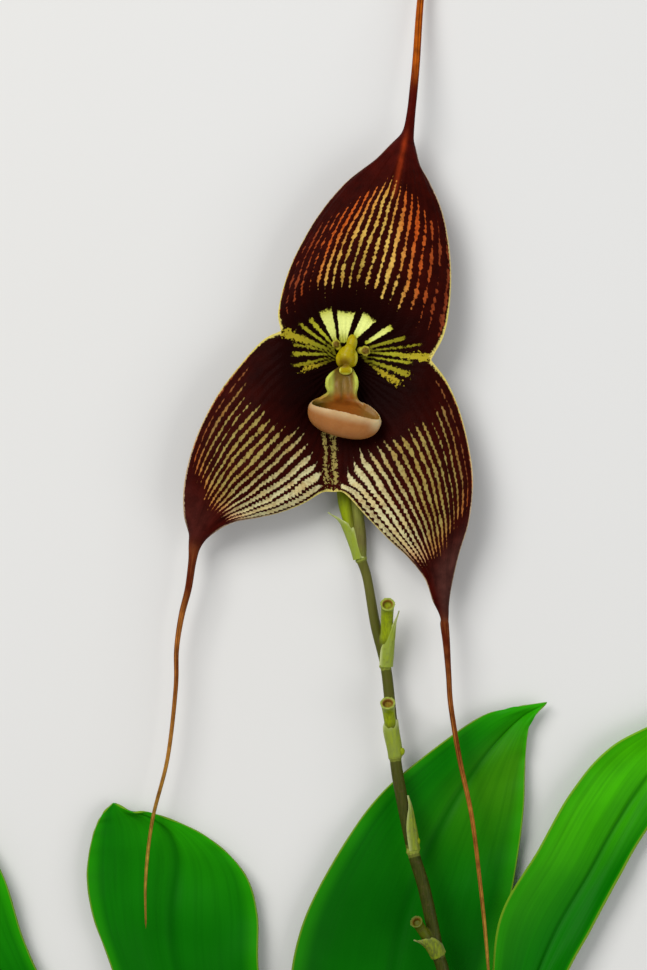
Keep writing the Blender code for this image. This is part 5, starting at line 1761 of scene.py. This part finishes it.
class ORCHID_OT_column(bpy.types.Operator):
    """The waxy yellow column with its anther cap"""
    bl_idname = "orchid.column"
    bl_label = "Column"

    def execute(self, context):
        make_column(context.scene.orchid_face)
        return {"FINISHED"}


class ORCHID_OT_petals(bpy.types.Operator):
    """The two warty knob-like petals beside the column"""
    bl_idname = "orchid.petals"
    bl_label = "Petals"

    def execute(self, context):
        make_petals(context.scene.orchid_face)
        return {"FINISHED"}


class ORCHID_OT_stem(bpy.types.Operator):
    """The flower's own stalk and the jointed stem with its bracts and spent stalks"""
    bl_idname = "orchid.stem"
    bl_label = "Stem"

    def execute(self, context):
        make_pedicel(context.scene.orchid_greenery)
        make_stem(context.scene.orchid_greenery)
        make_bracts(context.scene.orchid_greenery)
        return {"FINISHED"}


class ORCHID_OT_leaves(bpy.types.Operator):
    """The four leaves with their stalks"""
    bl_idname = "orchid.leaves"
    bl_label = "Leaves"

    def execute(self, context):
        skin = leaf_skin(context.scene.orchid_greenery)
        for name, stations in LEAVES.items():
            make_leaf(name, stations, skin, context.scene.orchid_greenery)
        return {"FINISHED"}


class ORCHID_OT_rhizome(bpy.types.Operator):
    """The rhizome with its sheaths and roots"""
    bl_idname = "orchid.rhizome"
    bl_label = "Rhizome and roots"

    def execute(self, context):
        make_rhizome(context.scene.orchid_greenery)
        make_sheaths(context.scene.orchid_greenery)
        return {"FINISHED"}


class ORCHID_OT_stage(bpy.types.Operator):
    """Pale floor, soft light and the camera"""
    bl_idname = "orchid.stage"
    bl_label = "Stage"

    def execute(self, context):
        make_stage(context.scene.orchid_stage)
        return {"FINISHED"}


OPERATORS = (ORCHID_OT_sepals, ORCHID_OT_lip, ORCHID_OT_column, ORCHID_OT_petals, ORCHID_OT_stem,
             ORCHID_OT_leaves, ORCHID_OT_rhizome, ORCHID_OT_stage)
SETTINGS = {"orchid_sepals": OrchidSepals, "orchid_face": OrchidFace,
            "orchid_greenery": OrchidGreenery, "orchid_stage": OrchidStage}


class ORCHID_PT_panel(bpy.types.Panel):
    """Lists the orchid's pieces in the order they are made"""
    bl_idname = "ORCHID_PT_panel"
    bl_label = "Monkey face orchid"
    bl_space_type = "VIEW_3D"
    bl_region_type = "UI"
    bl_category = "Orchid"

    def draw(self, context):
        for operator in OPERATORS:
            self.layout.operator(operator.bl_idname)
        for key, group in SETTINGS.items():
            box = self.layout.box()
            box.label(text=group.__doc__)
            for name in group.__annotations__:
                box.prop(getattr(context.scene, key), name)


def register():
    """Registers the settings, the operators and the panel."""
    for key, group in SETTINGS.items():
        bpy.utils.register_class(group)
        setattr(bpy.types.Scene, key, PointerProperty(type=group))
    for operator in OPERATORS:
        bpy.utils.register_class(operator)
    bpy.utils.register_class(ORCHID_PT_panel)


def unregister():
    """Takes away what register added."""
    bpy.utils.unregister_class(ORCHID_PT_panel)
    for operator in reversed(OPERATORS):
        bpy.utils.unregister_class(operator)
    for key, group in SETTINGS.items():
        delattr(bpy.types.Scene, key)
        bpy.utils.unregister_class(group)


def main():
    """Makes every piece in order."""
    register()
    bpy.ops.orchid.sepals()
    bpy.ops.orchid.lip()
    bpy.ops.orchid.column()
    bpy.ops.orchid.petals()
    bpy.ops.orchid.stem()
    bpy.ops.orchid.leaves()
    bpy.ops.orchid.rhizome()
    bpy.ops.orchid.stage()


if __name__ == "__main__":
    main()
